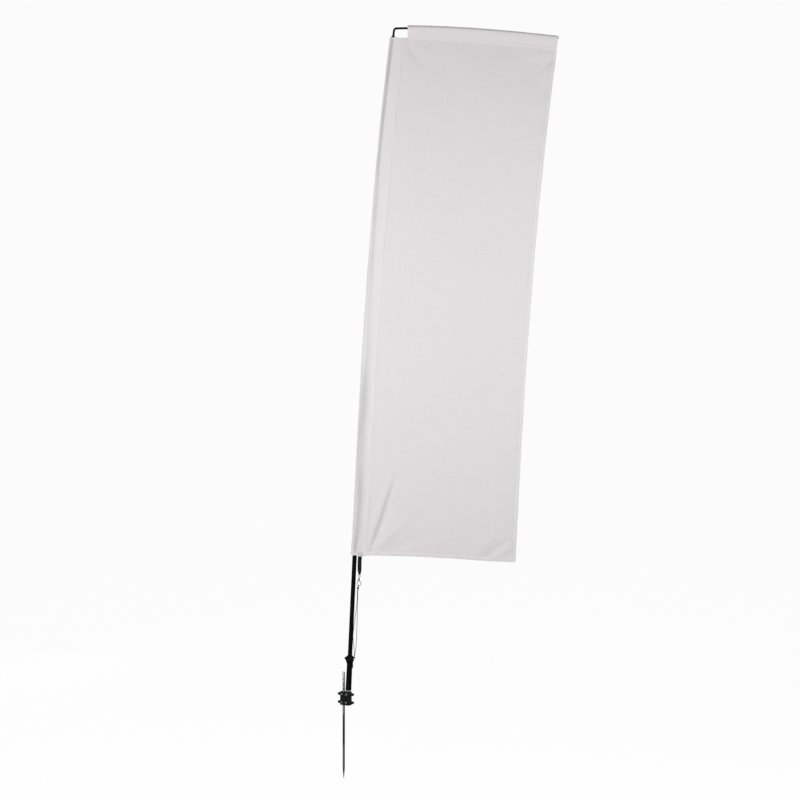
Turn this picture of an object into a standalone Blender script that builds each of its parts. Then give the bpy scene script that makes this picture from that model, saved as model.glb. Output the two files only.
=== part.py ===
"""Banner flag with a bent pole that turns on a spindle, clamped beside its ground spike.

World frame, in metres: the origin is on the spike's axis at ground level, +Z is up, +X points to the
flag's free edge and +Y to its back. Every size that can be set by itself is a named value below, and
whatever fits, seats on or passes through another piece is worked out from the same values.
"""

import math

import bmesh
import bpy
from mathutils import Matrix, Vector

# ---- Clearances ------------------------------------------------------------------------------
TOUCH_GAP = 0.0003  # between two pieces that touch
SLIP_GAP = 0.0004  # radial, round a piece that slides or turns in another

# ---- Ground spike ----------------------------------------------------------------------------
SPIKE_D = 0.010
SPIKE_TOP = 0.1455  # height of its hammered end over the ground
SPIKE_DEPTH = 0.3137  # depth of its point under the ground
SPIKE_POINT = 0.046
SPIKE_EDGE = 0.0008

# ---- Clamp: two cast shells round the spike and the spindle ----------------------------------
CLAMP_YAW = math.radians(32.5)  # the spindle's side is turned to the front
BORE_SPACING = 0.0223
CLAMP_BOTTOM = 0.004
CLAMP_HEIGHT = 0.058
CLAMP_LENGTH = 0.044
CLAMP_DEPTH = 0.028
CLAMP_EDGE = 0.0025
BAND_RISE = 0.0175  # the ears and screws stand this far over and under mid height
EAR_REACH = 0.0165
EAR_ROOT = 0.017
EAR_TIP = 0.008
EAR_DEPTH = 0.012
POCKET_WIDTH = 0.011
POCKET_HEIGHT = 0.015
POCKET_DEPTH = 0.004

# ---- Fasteners -------------------------------------------------------------------------------
BOLT_D = 0.005
BOLT_HEAD_D = 0.0085
BOLT_HEAD_H = 0.004
NUT_ACROSS_CORNERS = 0.0092
NUT_H = 0.004
BOLT_TAIL = 0.0015  # thread that stands out of the nut
SCREW_D = 0.006
SCREW_HEAD_D = 0.0104
SCREW_HEAD_H = 0.0045

# ---- Spindle and its bearings, as heights along the leaning turning axis -----------------------
LEAN = math.radians(2.65)
SPINDLE_D = 0.012
SPINDLE_FLANGE_D = 0.021
SPINDLE_FLANGE_H = 0.0028
SPINDLE_TOP = 0.124
CLIP_D = 0.0155
CLIP_H = 0.0012
CLIP_GROOVE = 0.0010
CLIP_MOUTH = math.radians(50)
WASHER_D = 0.0205
WASHER_H = 0.0014
BUSH_H = 0.013

# ---- Socket that turns on the spindle and holds the pole --------------------------------------
SOCKET_TOP = 0.2125
SOCKET_WALL = 0.0019
SOCKET_FLARE = 0.0024  # its foot is this much wider than its neck
SOCKET_TAPER_TOP = 0.150
SOCKET_EDGE = 0.003
SEAT_HEIGHT = 0.138  # where the pole's foot rests
SEAT_THICKNESS = 0.004
SEAT_LIP = 0.0016

# ---- Tether collar on the socket ---------------------------------------------------------------
COLLAR_BOTTOM = 0.191
COLLAR_TOP = 0.2172
COLLAR_WALL = 0.0022
COLLAR_BELL_FLARE = 0.0094
COLLAR_BELL_HEIGHT = 0.203
HORN_LENGTH = 0.0061  # out of the collar's bell
HORN_R = 0.0032  # half the horn's thickness where the cord lies round it
HORN_TIP_R = 0.0015
HORN_HEIGHT = 0.2092  # its middle over the ground, at the cord
HORN_ROOM = 0.0012  # between the collar's bell and the cord
HORN_DROOP = 0.0032  # how far its tip hangs under that
TONGUE_BOTTOM = 0.163
TONGUE_WIDTH = 0.008
TONGUE_THICKNESS = 0.0024
COLLAR_SCREW_D = 0.004

# ---- Pole: two sections, bent by the wind load of its banner ----------------------------------
POLE_D = 0.019
POLE_WALL = 0.0022
POLE_JOINT = 1.546  # length from the ground to the joint, along the pole
POLE_TIP_D = 0.0122
POLE_STEP = 0.0025  # the upper section is this much thinner at the joint
POLE_UPPER_WALL = 0.0011
POLE_END = 2.888
POLE_TIP_LEAN = math.radians(7.1)
POLE_BEND_POWER = 2.3
SPIGOT_REACH = 0.060
FERRULE_REACH = 0.022
FERRULE_WALL = 0.0010
FOOT_H = 0.003
FOOT_PLUG = 0.014
TOP_FERRULE_REACH = 0.016

# ---- Corner tube and arm that stretch the banner's top ----------------------------------------
CORNER_D = 0.0092
CORNER_WALL = 0.0011
CORNER_PLUG = 0.060
CORNER_LEG = 0.0235
CORNER_RADIUS = 0.0115
CORNER_ARM = 0.075
ARM_D = 0.0062
ARM_LENGTH = 0.699  # from the corner's bend to the arm's end
ARM_RISE = math.radians(2.5)
ARM_DROOP = math.radians(8.8)
ARM_DROOP_POWER = 0.5
ARM_PLUG = 0.055
ARM_CAP_D = 0.0090
ARM_CAP_L = 0.014
ARM_CAP_WALL = 0.0012

# ---- Banner: panel, pole sleeve and arm pocket -------------------------------------------------
CLOTH = 0.0006
SLEEVE_D = 0.028
SLEEVE_BOTTOM = 0.652
SLEEVE_SHORT = 0.006  # the pole stands out of the sleeve's top by this much
POCKET_D = 0.0155
POCKET_START = 0.045  # from the corner's bend, along the arm
PANEL_INSET = 0.007  # the panel's foot is this much narrower than the arm is long
PANEL_TOP_FLARE = 0.021
PANEL_BOTTOM_DROP = 0.0320

# ---- Tether strap and swivel snap hook ---------------------------------------------------------
STRAP_WIDTH = 0.017
STRAP_TIP_WIDTH = 0.010
STRAP_THICKNESS = 0.0024
STRAP_TOP = 0.655
STRAP_ASIDE = 0.0006  # left between the strap and the sleeve's side
STRAP_TAPER = 0.020
HOOK_EYE = (0.0677, 0.560)
HOOK_LEAN = math.radians(6.45)
EYE_R = 0.0046
EYE_WIRE = 0.0022
STEM_D = 0.0024
RIVET_D = 0.0034
BARREL_D = 0.0066
BARREL_TOP = -0.0085
BARREL_H = 0.0100
BARREL_FLOOR = 0.0024
BOW_R = 0.0092
BOW_ASIDE = 0.0018
BOW_DROP = 0.0330
BOW_WIRE = 0.0026
BOW_START = math.radians(62)
BOW_END = math.radians(-185)
CHEEK_THICKNESS = 0.0012
GATE_D = 0.0018
GATE_PIN_D = 0.0012
GATE_PIVOT = (-0.0047, -0.0237)
GATE_TIP_INSET = 0.0027

# ---- Tether cord -------------------------------------------------------------------------------
CORD_D = 0.0022
WHIPPING_D = 0.0078
WHIPPING_H = 0.0104
WHIPPING_TOP = -0.0470
CORD_STEP = 0.0125  # between points on the cord's straight runs
STRAND_SPACING = 0.0026
# Each strand as (length up the pole, distance from the pole's side, distance behind the pole's middle).
FRONT_STRAND = (
    (0.469, 0.0126, 0.0000), (0.420, 0.0127, -0.0005), (0.378, 0.0140, -0.0012), (0.327, 0.0145, -0.0022),
    (0.275, 0.0149, -0.0032), (0.236, 0.0128, -0.0039),
)
BACK_STRAND = (
    (0.245, 0.0069, 0.0058), (0.275, 0.0019, 0.0075), (0.300, -0.0005, 0.0078), (0.320, 0.0002, 0.0062),
    (0.345, 0.0019, 0.0038), (0.378, 0.0043, 0.0020), (0.412, 0.0075, 0.0007), (0.469, 0.0103, 0.0000),
)

# ---- Worked out from the sizes above -----------------------------------------------------------
CLAMP_MIDDLE = CLAMP_BOTTOM + CLAMP_HEIGHT / 2
CLAMP_TOP = CLAMP_BOTTOM + CLAMP_HEIGHT
PLANE_Y = -BORE_SPACING * math.sin(CLAMP_YAW)
SWIVEL_FOOT_X = BORE_SPACING * math.cos(CLAMP_YAW) - CLAMP_MIDDLE * math.tan(LEAN)
SLEEVE_TOP = POLE_END - SLEEVE_SHORT
PANEL_BOTTOM_WIDTH = ARM_LENGTH - PANEL_INSET  # from the pole's axis to the free edge
FLANGE_BOTTOM = CLAMP_TOP + 0.0012
FLANGE_TOP = FLANGE_BOTTOM + SPINDLE_FLANGE_H
WASHER_BOTTOM = FLANGE_TOP + TOUCH_GAP
SOCKET_BOTTOM = WASHER_BOTTOM + WASHER_H + TOUCH_GAP
SOCKET_BORE_R = POLE_D / 2 + SLIP_GAP
SOCKET_NECK_D = 2 * (SOCKET_BORE_R + SOCKET_WALL)
SOCKET_FOOT_D = SOCKET_NECK_D + SOCKET_FLARE
COLLAR_BELL_D = SOCKET_NECK_D + COLLAR_BELL_FLARE
HORN_REACH = COLLAR_BELL_D / 2 + HORN_LENGTH
POLE_UPPER_D = POLE_D - POLE_STEP
CLIP_BOTTOM = SPINDLE_TOP - 0.0036
UPPER_BUSH_TOP = CLIP_BOTTOM - TOUCH_GAP
POLE_FOOT = SEAT_HEIGHT + TOUCH_GAP + FOOT_H + TOUCH_GAP
BEND_START = COLLAR_TOP
CORNER_R = min(CORNER_D, POLE_TIP_D - 2 * POLE_UPPER_WALL - 2 * TOUCH_GAP) / 2
ARM_R = min(ARM_D, 2 * (CORNER_R - CORNER_WALL - SLIP_GAP)) / 2

ROUND = 24  # facets of a turned piece
TUBE_ROUND = 6  # bevel resolution of the pole's tubes
CORD_ROUND = 2


# ---- Small tools -------------------------------------------------------------------------------
def clear_scene():
    for thing in list(bpy.data.objects):
        bpy.data.objects.remove(thing, do_unlink=True)


def material(name, colour, roughness, metallic=0.0):
    made = bpy.data.materials.new(name)
    made.use_nodes = True
    shader = made.node_tree.nodes["Principled BSDF"]
    shader.inputs["Base Color"].default_value = (*colour, 1.0)
    shader.inputs["Roughness"].default_value = roughness
    shader.inputs["Metallic"].default_value = metallic
    return made


def link(obj, finish=None, parent=None):
    bpy.context.scene.collection.objects.link(obj)
    if finish is not None:
        obj.data.materials.append(finish)
    if parent is not None:
        obj.parent = parent
    return obj


def frame_empty(name, place, tilt=0.0, yaw=0.0, parent=None):
    """An empty that holds the place and direction of a joint or of a clamped group."""
    empty = bpy.data.objects.new(name, None)
    empty.location = place
    empty.rotation_euler = (0.0, tilt, yaw)
    return link(empty, parent=parent)


def from_bmesh(name, bm, finish=None, parent=None, smooth=math.radians(35)):
    """The object made of bm, with its faces turned outwards and its rounds shaded smooth."""
    bmesh.ops.recalc_face_normals(bm, faces=bm.faces)
    mesh = bpy.data.meshes.new(name)
    bm.to_mesh(mesh)
    bm.free()
    mesh.shade_smooth()
    mesh.set_sharp_from_angle(angle=smooth)
    return link(bpy.data.objects.new(name, mesh), finish, parent)


def spun(bm, profile, ring=False, axis=(0, 0, 1), centre=(0, 0, 0), turn=2 * math.pi, facets=ROUND):
    """Spins a profile of points about an axis. A ring's profile closes on itself."""
    verts = [bm.verts.new(p) for p in profile]
    pairs = list(zip(verts, verts[1:]))
    if ring:
        pairs.append((verts[-1], verts[0]))
    edges = [bm.edges.new(pair) for pair in pairs]
    whole = turn > 2 * math.pi - 1e-6
    start = None if whole else bm.faces.new(verts)
    made = bmesh.ops.spin(
        bm, geom=verts + edges, cent=centre, axis=axis, angle=turn, steps=facets, use_merge=whole
    )
    if start is not None:
        end = [v for v in made["geom_last"] if isinstance(v, bmesh.types.BMVert)]
        bm.faces.new(end)
    bmesh.ops.remove_doubles(bm, verts=bm.verts, dist=1e-6)


def turned(name, profile, finish, parent=None, ring=False, facets=ROUND):
    """A turned piece. The profile is (radius, height) points, from axis to axis or round a ring."""
    bm = bmesh.new()
    spun(bm, [(r, 0.0, z) for r, z in profile], ring=ring, facets=facets)
    return from_bmesh(name, bm, finish, parent)


def prism(name, outline, depth, finish=None, parent=None, place=None, edge=0.0):
    """An outline of (x, z) points given depth along Y, centred on Y = 0."""
    bm = bmesh.new()
    face = bm.faces.new([bm.verts.new((x, -depth / 2, z)) for x, z in outline])
    made = bmesh.ops.extrude_face_region(bm, geom=[face])
    moved = [v for v in made["geom"] if isinstance(v, bmesh.types.BMVert)]
    bmesh.ops.translate(bm, verts=moved, vec=(0.0, depth, 0.0))
    if edge:
        bmesh.ops.bevel(bm, geom=bm.edges[:], offset=edge, segments=2, profile=0.5, affect="EDGES")
    if place is not None:
        bmesh.ops.transform(bm, matrix=place, verts=bm.verts)
    return from_bmesh(name, bm, finish, parent)


def rods(name, pieces, parent=None, facets=16):
    """A cutter of round rods, each from a start point to an end point with its radius."""
    bm = bmesh.new()
    for start, end, radius in pieces:
        along = Vector(end) - Vector(start)
        turn = along.to_track_quat("Z", "Y").to_matrix().to_4x4()
        middle = Matrix.Translation((Vector(start) + Vector(end)) / 2)
        bmesh.ops.create_cone(
            bm, cap_ends=True, segments=facets, radius1=radius, radius2=radius, depth=along.length,
            matrix=middle @ turn,
        )
    return from_bmesh(name, bm, parent=parent)


def combine(target, other, operation):
    """Cuts other from target, or joins it on, and keeps other only as a hidden guide."""
    other.hide_render = True
    other.display_type = "WIRE"
    step = target.modifiers.new(f"{operation.lower()}_{other.name}", "BOOLEAN")
    step.operation = operation
    step.object = other
    step.solver = "EXACT"


def tube(name, points, radii, finish=None, parent=None, wall=0.0, resolution=TUBE_ROUND):
    """A round bar along the points, or a tube with open ends where a wall is given."""
    curve = bpy.data.curves.new(name, "CURVE")
    curve.dimensions = "3D"
    curve.bevel_depth = 1.0
    curve.bevel_resolution = resolution
    curve.use_fill_caps = not wall
    spline = curve.splines.new("POLY")
    spline.points.add(len(points) - 1)
    for point, place, radius in zip(spline.points, points, radii):
        point.co = (*place, 1.0)
        point.radius = radius
    spline.use_smooth = True
    obj = link(bpy.data.objects.new(name, curve), finish, parent)
    if wall:
        shell = obj.modifiers.new("wall", "SOLIDIFY")
        shell.thickness = wall
        shell.offset = -1.0
        shell.use_even_offset = True
    return obj


def tube_mesh(name, points, radii, finish=None, parent=None, resolution=3):
    """A round bar along the points as a mesh, which can be joined to other shapes."""
    guide = tube(name + "_path", points, radii, resolution=resolution)
    bpy.context.view_layer.update()
    mesh = bpy.data.meshes.new_from_object(guide.evaluated_get(bpy.context.evaluated_depsgraph_get()))
    bpy.data.objects.remove(guide, do_unlink=True)
    bm = bmesh.new()
    bm.from_mesh(mesh)
    bpy.data.meshes.remove(mesh)
    bmesh.ops.remove_doubles(bm, verts=bm.verts, dist=1e-6)
    return from_bmesh(name, bm, finish, parent)


def smooth_route(knots, step):
    """Points on the smooth curve through the knots: every knot, and more between far ones."""
    ends = [2 * knots[0] - knots[1], *knots, 2 * knots[-1] - knots[-2]]
    route = []
    for four in zip(ends, ends[1:], ends[2:], ends[3:]):
        times = [0.0]
        for a, b in zip(four, four[1:]):
            times.append(times[-1] + (b - a).length ** 0.5)
        count = math.ceil((four[2] - four[1]).length / step)
        for index in range(count):
            now = times[1] + (times[2] - times[1]) * index / count
            level = list(four)
            for span in (1, 2, 2):
                low = 1 if len(level) == 2 else 0
                level = [
                    a.lerp(b, (now - times[i + low]) / (times[i + low + span] - times[i + low]))
                    for i, (a, b) in enumerate(zip(level, level[1:]))
                ] if len(level) > 2 else [level[0].lerp(level[1], (now - times[1]) / (times[2] - times[1]))]
            route.append(level[0])
    return [*route, knots[-1]]


def spaced(start, end, count):
    return [start + (end - start) * i / (count - 1) for i in range(count)]


# ---- Where the pole, the arm and the tilted frames run ------------------------------------------
def swivel_point(x, y, z):
    """A point given in the socket's leaning frame."""
    return Vector((SWIVEL_FOOT_X + x * math.cos(LEAN) + z * math.sin(LEAN), PLANE_Y + y,
                   z * math.cos(LEAN) - x * math.sin(LEAN)))


def hook_point(x, y, z):
    """A point given in the snap hook's frame, whose +Z runs up through its eye."""
    return Vector((HOOK_EYE[0] + x * math.cos(HOOK_LEAN) + z * math.sin(HOOK_LEAN), PLANE_Y + y,
                   HOOK_EYE[1] + z * math.cos(HOOK_LEAN) - x * math.sin(HOOK_LEAN)))


def pole_lean(length):
    """The pole's lean from upright, at a length along it from the ground."""
    share = max(0.0, (length - BEND_START) / (POLE_END - BEND_START))
    return LEAN + (POLE_TIP_LEAN - LEAN) * share**POLE_BEND_POWER


def pole_point(length, aside=0.0):
    """A point on the pole's axis, or aside from it towards the flag."""
    straight = min(length, BEND_START)
    x = SWIVEL_FOOT_X + straight * math.sin(LEAN)
    z = straight * math.cos(LEAN)
    steps = max(1, math.ceil((length - straight) / 0.02))
    step = (length - straight) / steps
    for index in range(steps):
        lean = pole_lean(straight + (index + 0.5) * step)
        x += step * math.sin(lean)
        z += step * math.cos(lean)
    lean = pole_lean(length)
    return Vector((x + aside * math.cos(lean), PLANE_Y, z - aside * math.sin(lean)))


def arm_point(length, below=0.0):
    """A point on the arm, at a length from the corner's bend, or below it. Under 0 it rounds the bend."""
    top = pole_point(POLE_END)
    lean, level = pole_lean(POLE_END), math.pi / 2 - ARM_RISE
    bend_x = top.x + CORNER_LEG * math.sin(lean) + CORNER_RADIUS * (math.cos(lean) - math.cos(level))
    bend_z = top.z + CORNER_LEG * math.cos(lean) + CORNER_RADIUS * (math.sin(level) - math.sin(lean))
    steps = max(1, math.ceil(length / 0.01))
    step = length / steps
    for index in range(steps):
        angle = arm_rise((index + 0.5) * step)
        bend_x += step * math.cos(angle)
        bend_z += step * math.sin(angle)
    angle = arm_rise(length)
    return Vector((bend_x + below * math.sin(angle), PLANE_Y, bend_z - below * math.cos(angle)))


def arm_rise(length):
    return ARM_RISE - ARM_DROOP * (max(length, 0.0) / ARM_LENGTH) ** ARM_DROOP_POWER


def corner_path():
    """The corner tube's axis: down in the pole, up its leg, round the bend and out along the arm."""
    top = pole_point(POLE_END)
    lean, level = pole_lean(POLE_END), math.pi / 2 - ARM_RISE
    up = Vector((math.sin(lean), 0.0, math.cos(lean)))
    path = [pole_point(POLE_END - share * CORNER_PLUG) for share in (1.0, 0.5)]
    path += [top, top + up * CORNER_LEG]
    start = path[-1]
    for index in range(1, 7):
        angle = lean + (level - lean) * index / 6
        path.append(
            start + CORNER_RADIUS * Vector(
                (math.cos(lean) - math.cos(angle), 0.0, math.sin(angle) - math.sin(lean)))
        )
    path.extend(arm_point(CORNER_ARM * share) for share in (0.25, 0.5, 0.75, 1.0))
    return path


def free_edge(height):
    """The banner's free edge: its distance from the pole grows towards the top."""
    bottom, top = pole_point(SLEEVE_BOTTOM).z, pole_point(SLEEVE_TOP).z
    share = (height - bottom) / (top - bottom)
    width = PANEL_BOTTOM_WIDTH + PANEL_TOP_FLARE * max(share, 0.0) ** 2
    return pole_point(SLEEVE_BOTTOM + (SLEEVE_TOP - SLEEVE_BOTTOM) * share).x + width


# ---- The pieces --------------------------------------------------------------------------------
def make_spike(steel):
    r = SPIKE_D / 2
    turned("spike_rod", [
        (0.0, -SPIKE_DEPTH), (0.0007, -SPIKE_DEPTH + 0.001), (r, -SPIKE_DEPTH + SPIKE_POINT),
        (r, SPIKE_TOP - SPIKE_EDGE), (r - SPIKE_EDGE, SPIKE_TOP), (0.0, SPIKE_TOP),
    ], steel)


def ear_centres():
    """The middle of each ear's bolt, in the clamp's own frame."""
    middle = BORE_SPACING / 2
    reach = CLAMP_LENGTH / 2 + EAR_REACH * 0.46
    return [(middle + side * reach, CLAMP_MIDDLE + rise * BAND_RISE) for side in (-1, 1) for rise in (-1, 1)]


def screw_centres():
    """The clamp screws, two on the spike and two on the leaning spindle."""
    found = []
    for rise in (-1, 1):
        height = CLAMP_MIDDLE + rise * BAND_RISE
        found.append((0.0, height))
        found.append((BORE_SPACING + rise * BAND_RISE * math.tan(LEAN) * math.cos(CLAMP_YAW), height))
    return found


def make_shell(name, side, finish, frame):
    """One clamp shell, on the front (-1) or the back (1) of the parting plane."""
    middle, half = BORE_SPACING / 2, CLAMP_LENGTH / 2
    bm = bmesh.new()
    levels = [CLAMP_BOTTOM]
    for rise in (-1, 1):
        centre = CLAMP_MIDDLE + rise * BAND_RISE
        levels += [centre - EAR_ROOT / 2, centre + EAR_ROOT / 2]
    levels.append(CLAMP_TOP)
    start = side * TOUCH_GAP / 2
    left = [bm.verts.new((middle - half, start, z)) for z in levels]
    right = [bm.verts.new((middle + half, start, z)) for z in levels]
    body = bm.faces.new(left + right[::-1])
    ears = []
    for column, sign in ((left, -1), (right, 1)):
        for low in (1, 3):
            centre = (levels[low] + levels[low + 1]) / 2
            tip_x = middle + sign * (half + EAR_REACH)
            tips = [bm.verts.new((tip_x, start, centre + rise * EAR_TIP / 2)) for rise in (-1, 1)]
            ears.append(bm.faces.new([column[low], tips[0], tips[1], column[low + 1]]))
    flange = bmesh.ops.extrude_face_region(bm, geom=[body, *ears])
    raised = [f for f in flange["geom"] if isinstance(f, bmesh.types.BMFace)]
    moved = {v for f in raised for v in f.verts}
    bmesh.ops.translate(bm, verts=list(moved), vec=(0.0, side * EAR_DEPTH / 2 - start, 0.0))
    centre_face = max(raised, key=lambda f: f.calc_area())
    block = bmesh.ops.extrude_face_region(bm, geom=[centre_face])
    bmesh.ops.delete(bm, geom=[centre_face], context="FACES_ONLY")
    top = [v for v in block["geom"] if isinstance(v, bmesh.types.BMVert)]
    bmesh.ops.translate(bm, verts=top, vec=(0.0, side * (CLAMP_DEPTH - EAR_DEPTH) / 2, 0.0))
    outer = [e for e in bm.edges if all(abs(v.co.y) > CLAMP_DEPTH / 2 - 1e-6 for v in e.verts)]
    bmesh.ops.bevel(bm, geom=outer, offset=CLAMP_EDGE, segments=2, profile=0.5, affect="EDGES")
    shell = from_bmesh(name, bm, finish, frame)

    up = CLAMP_TOP + 0.01
    lean_x = math.tan(LEAN) * math.cos(CLAMP_YAW)
    lean_y = math.tan(LEAN) * math.sin(CLAMP_YAW)
    low, high = -CLAMP_MIDDLE - 0.01, up - CLAMP_MIDDLE
    bores = rods(name + "_bores", [
        ((0.0, 0.0, -0.01), (0.0, 0.0, up), SPIKE_D / 2 + TOUCH_GAP),
        ((BORE_SPACING + low * lean_x, low * lean_y, CLAMP_MIDDLE + low),
         (BORE_SPACING + high * lean_x, high * lean_y, CLAMP_MIDDLE + high), SPINDLE_D / 2 + TOUCH_GAP),
    ], frame, facets=ROUND)
    combine(shell, bores, "DIFFERENCE")
    through = [((x, -0.03, z), (x, 0.03, z), BOLT_D / 2 + TOUCH_GAP) for x, z in ear_centres()]
    combine(shell, rods(name + "_bolt_holes", through, frame), "DIFFERENCE")
    if side < 0:
        holes = [((x, -0.03, z), (x, -0.001, z), SCREW_D / 2 + TOUCH_GAP) for x, z in screw_centres()]
        combine(shell, rods(name + "_screw_holes", holes, frame), "DIFFERENCE")
    for number, x in enumerate((0.0, BORE_SPACING), 1):
        face = side * CLAMP_DEPTH / 2
        pocket = prism(
            f"{name}_pocket_{number}",
            [(x - POCKET_WIDTH / 2, CLAMP_MIDDLE - POCKET_HEIGHT / 2),
             (x + POCKET_WIDTH / 2, CLAMP_MIDDLE - POCKET_HEIGHT / 2),
             (x + POCKET_WIDTH / 2, CLAMP_MIDDLE + POCKET_HEIGHT / 2),
             (x - POCKET_WIDTH / 2, CLAMP_MIDDLE + POCKET_HEIGHT / 2)],
            2 * POCKET_DEPTH, parent=frame, place=Matrix.Translation((0.0, face, 0.0)))
        combine(shell, pocket, "DIFFERENCE")


def make_clamp(cast, black_steel, zinc):
    frame = frame_empty("clamp_frame", (0.0, 0.0, 0.0), yaw=-CLAMP_YAW)
    make_shell("clamp_front_shell", -1, cast, frame)
    make_shell("clamp_back_shell", 1, cast, frame)
    ear, tail = EAR_DEPTH / 2, NUT_H + TOUCH_GAP + BOLT_TAIL
    r, head_r = BOLT_D / 2, BOLT_HEAD_D / 2
    along_y = Matrix.Rotation(math.pi / 2, 4, "X")  # turns a piece's own +Z to the clamp's front
    for number, (x, z) in enumerate(ear_centres(), 1):
        bolt = turned(f"ear_bolt_{number}", [
            (0.0, -ear - tail), (r, -ear - tail), (r, ear + TOUCH_GAP), (head_r, ear + TOUCH_GAP),
            (head_r, ear + BOLT_HEAD_H - 0.0006), (head_r - 0.0006, ear + BOLT_HEAD_H),
            (0.0, ear + BOLT_HEAD_H),
        ], black_steel, frame, facets=12)
        bolt.matrix_local = Matrix.Translation((x, 0.0, z)) @ along_y
        nut = make_nut(f"ear_nut_{number}", -ear - TOUCH_GAP - NUT_H, black_steel, frame)
        nut.matrix_local = Matrix.Translation((x, 0.0, z)) @ along_y
    face, r, head_r = CLAMP_DEPTH / 2, SCREW_D / 2, SCREW_HEAD_D / 2
    for number, (x, z) in enumerate(screw_centres(), 1):
        rod_r = SPIKE_D / 2 if x == 0.0 else SPINDLE_D / 2
        screw = turned(f"clamp_screw_{number}", [
            (0.0, rod_r + 2 * TOUCH_GAP), (r, rod_r + 2 * TOUCH_GAP), (r, face + TOUCH_GAP),
            (head_r, face + TOUCH_GAP), (head_r, face + SCREW_HEAD_H - 0.001),
            (head_r - 0.001, face + SCREW_HEAD_H), (0.0, face + SCREW_HEAD_H),
        ], zinc, frame, facets=12)
        lean_y = (z - CLAMP_MIDDLE) * math.tan(LEAN) * math.sin(CLAMP_YAW) if x else 0.0
        screw.matrix_local = Matrix.Translation((x, min(lean_y, 0.0), z)) @ along_y


def make_nut(name, low, finish, frame):
    """A six-sided nut: twelve facets round its bore, with every other outer corner drawn in to a flat."""
    corner, bore = NUT_ACROSS_CORNERS / 2, BOLT_D / 2 + TOUCH_GAP
    profile = [(bore, low), (corner, low), (corner, low + NUT_H), (bore, low + NUT_H)]
    nut = turned(name, profile, finish, frame, ring=True, facets=12)
    for vert in nut.data.vertices:
        turn = round(math.atan2(vert.co.y, vert.co.x) / (math.pi / 6))
        if turn % 2 and vert.co.xy.length > (corner + bore) / 2:
            vert.co.xy = vert.co.xy * math.cos(math.pi / 6)
    return nut


def make_spindle(steel, spring_steel, nylon, swivel):
    r, flange_r, groove_r = SPINDLE_D / 2, SPINDLE_FLANGE_D / 2, SPINDLE_D / 2 - CLIP_GROOVE
    foot = CLAMP_BOTTOM + 0.0006
    groove_top = CLIP_BOTTOM + CLIP_H + TOUCH_GAP
    turned("spindle", [
        (0.0, foot), (r - 0.0005, foot), (r, foot + 0.0005), (r, FLANGE_BOTTOM), (flange_r, FLANGE_BOTTOM),
        (flange_r, FLANGE_TOP), (r, FLANGE_TOP), (r, CLIP_BOTTOM - TOUCH_GAP),
        (groove_r, CLIP_BOTTOM - TOUCH_GAP),
        (groove_r, groove_top), (r, groove_top), (r, SPINDLE_TOP - 0.001), (r - 0.001, SPINDLE_TOP),
        (0.0, SPINDLE_TOP),
    ], steel, swivel)
    turned("thrust_washer", [
        (r + TOUCH_GAP, WASHER_BOTTOM), (WASHER_D / 2, WASHER_BOTTOM),
        (WASHER_D / 2, WASHER_BOTTOM + WASHER_H),
        (r + TOUCH_GAP, WASHER_BOTTOM + WASHER_H),
    ], nylon, swivel, ring=True)
    bm = bmesh.new()
    inner, outer = groove_r + TOUCH_GAP, CLIP_D / 2
    spun(bm, [(inner, 0.0, CLIP_BOTTOM), (outer, 0.0, CLIP_BOTTOM), (outer, 0.0, CLIP_BOTTOM + CLIP_H),
              (inner, 0.0, CLIP_BOTTOM + CLIP_H)], ring=True, turn=2 * math.pi - CLIP_MOUTH)
    from_bmesh("spindle_clip", bm, spring_steel, swivel)


def make_socket(black, nylon, steel, swivel):
    foot, neck, bore = SOCKET_FOOT_D / 2, SOCKET_NECK_D / 2, SOCKET_BORE_R
    lip = bore - SEAT_LIP
    turned("socket_tube", [
        (bore, SOCKET_BOTTOM), (foot - SOCKET_EDGE * 0.8, SOCKET_BOTTOM), (foot, SOCKET_BOTTOM + SOCKET_EDGE),
        (neck, SOCKET_TAPER_TOP), (neck, SOCKET_TOP), (bore, SOCKET_TOP), (bore, SEAT_HEIGHT),
        (lip, SEAT_HEIGHT),
        (lip, SEAT_HEIGHT - SEAT_THICKNESS), (bore, SEAT_HEIGHT - SEAT_THICKNESS),
    ], black, swivel, ring=True)
    outer, inner = bore - TOUCH_GAP, SPINDLE_D / 2 + SLIP_GAP
    for name, low in (("lower_bush", SOCKET_BOTTOM + TOUCH_GAP), ("upper_bush", UPPER_BUSH_TOP - BUSH_H)):
        turned(name, [(inner, low), (outer, low), (outer, low + BUSH_H), (inner, low + BUSH_H)],
               nylon, swivel, ring=True)
    make_collar(black, steel, swivel)


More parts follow.
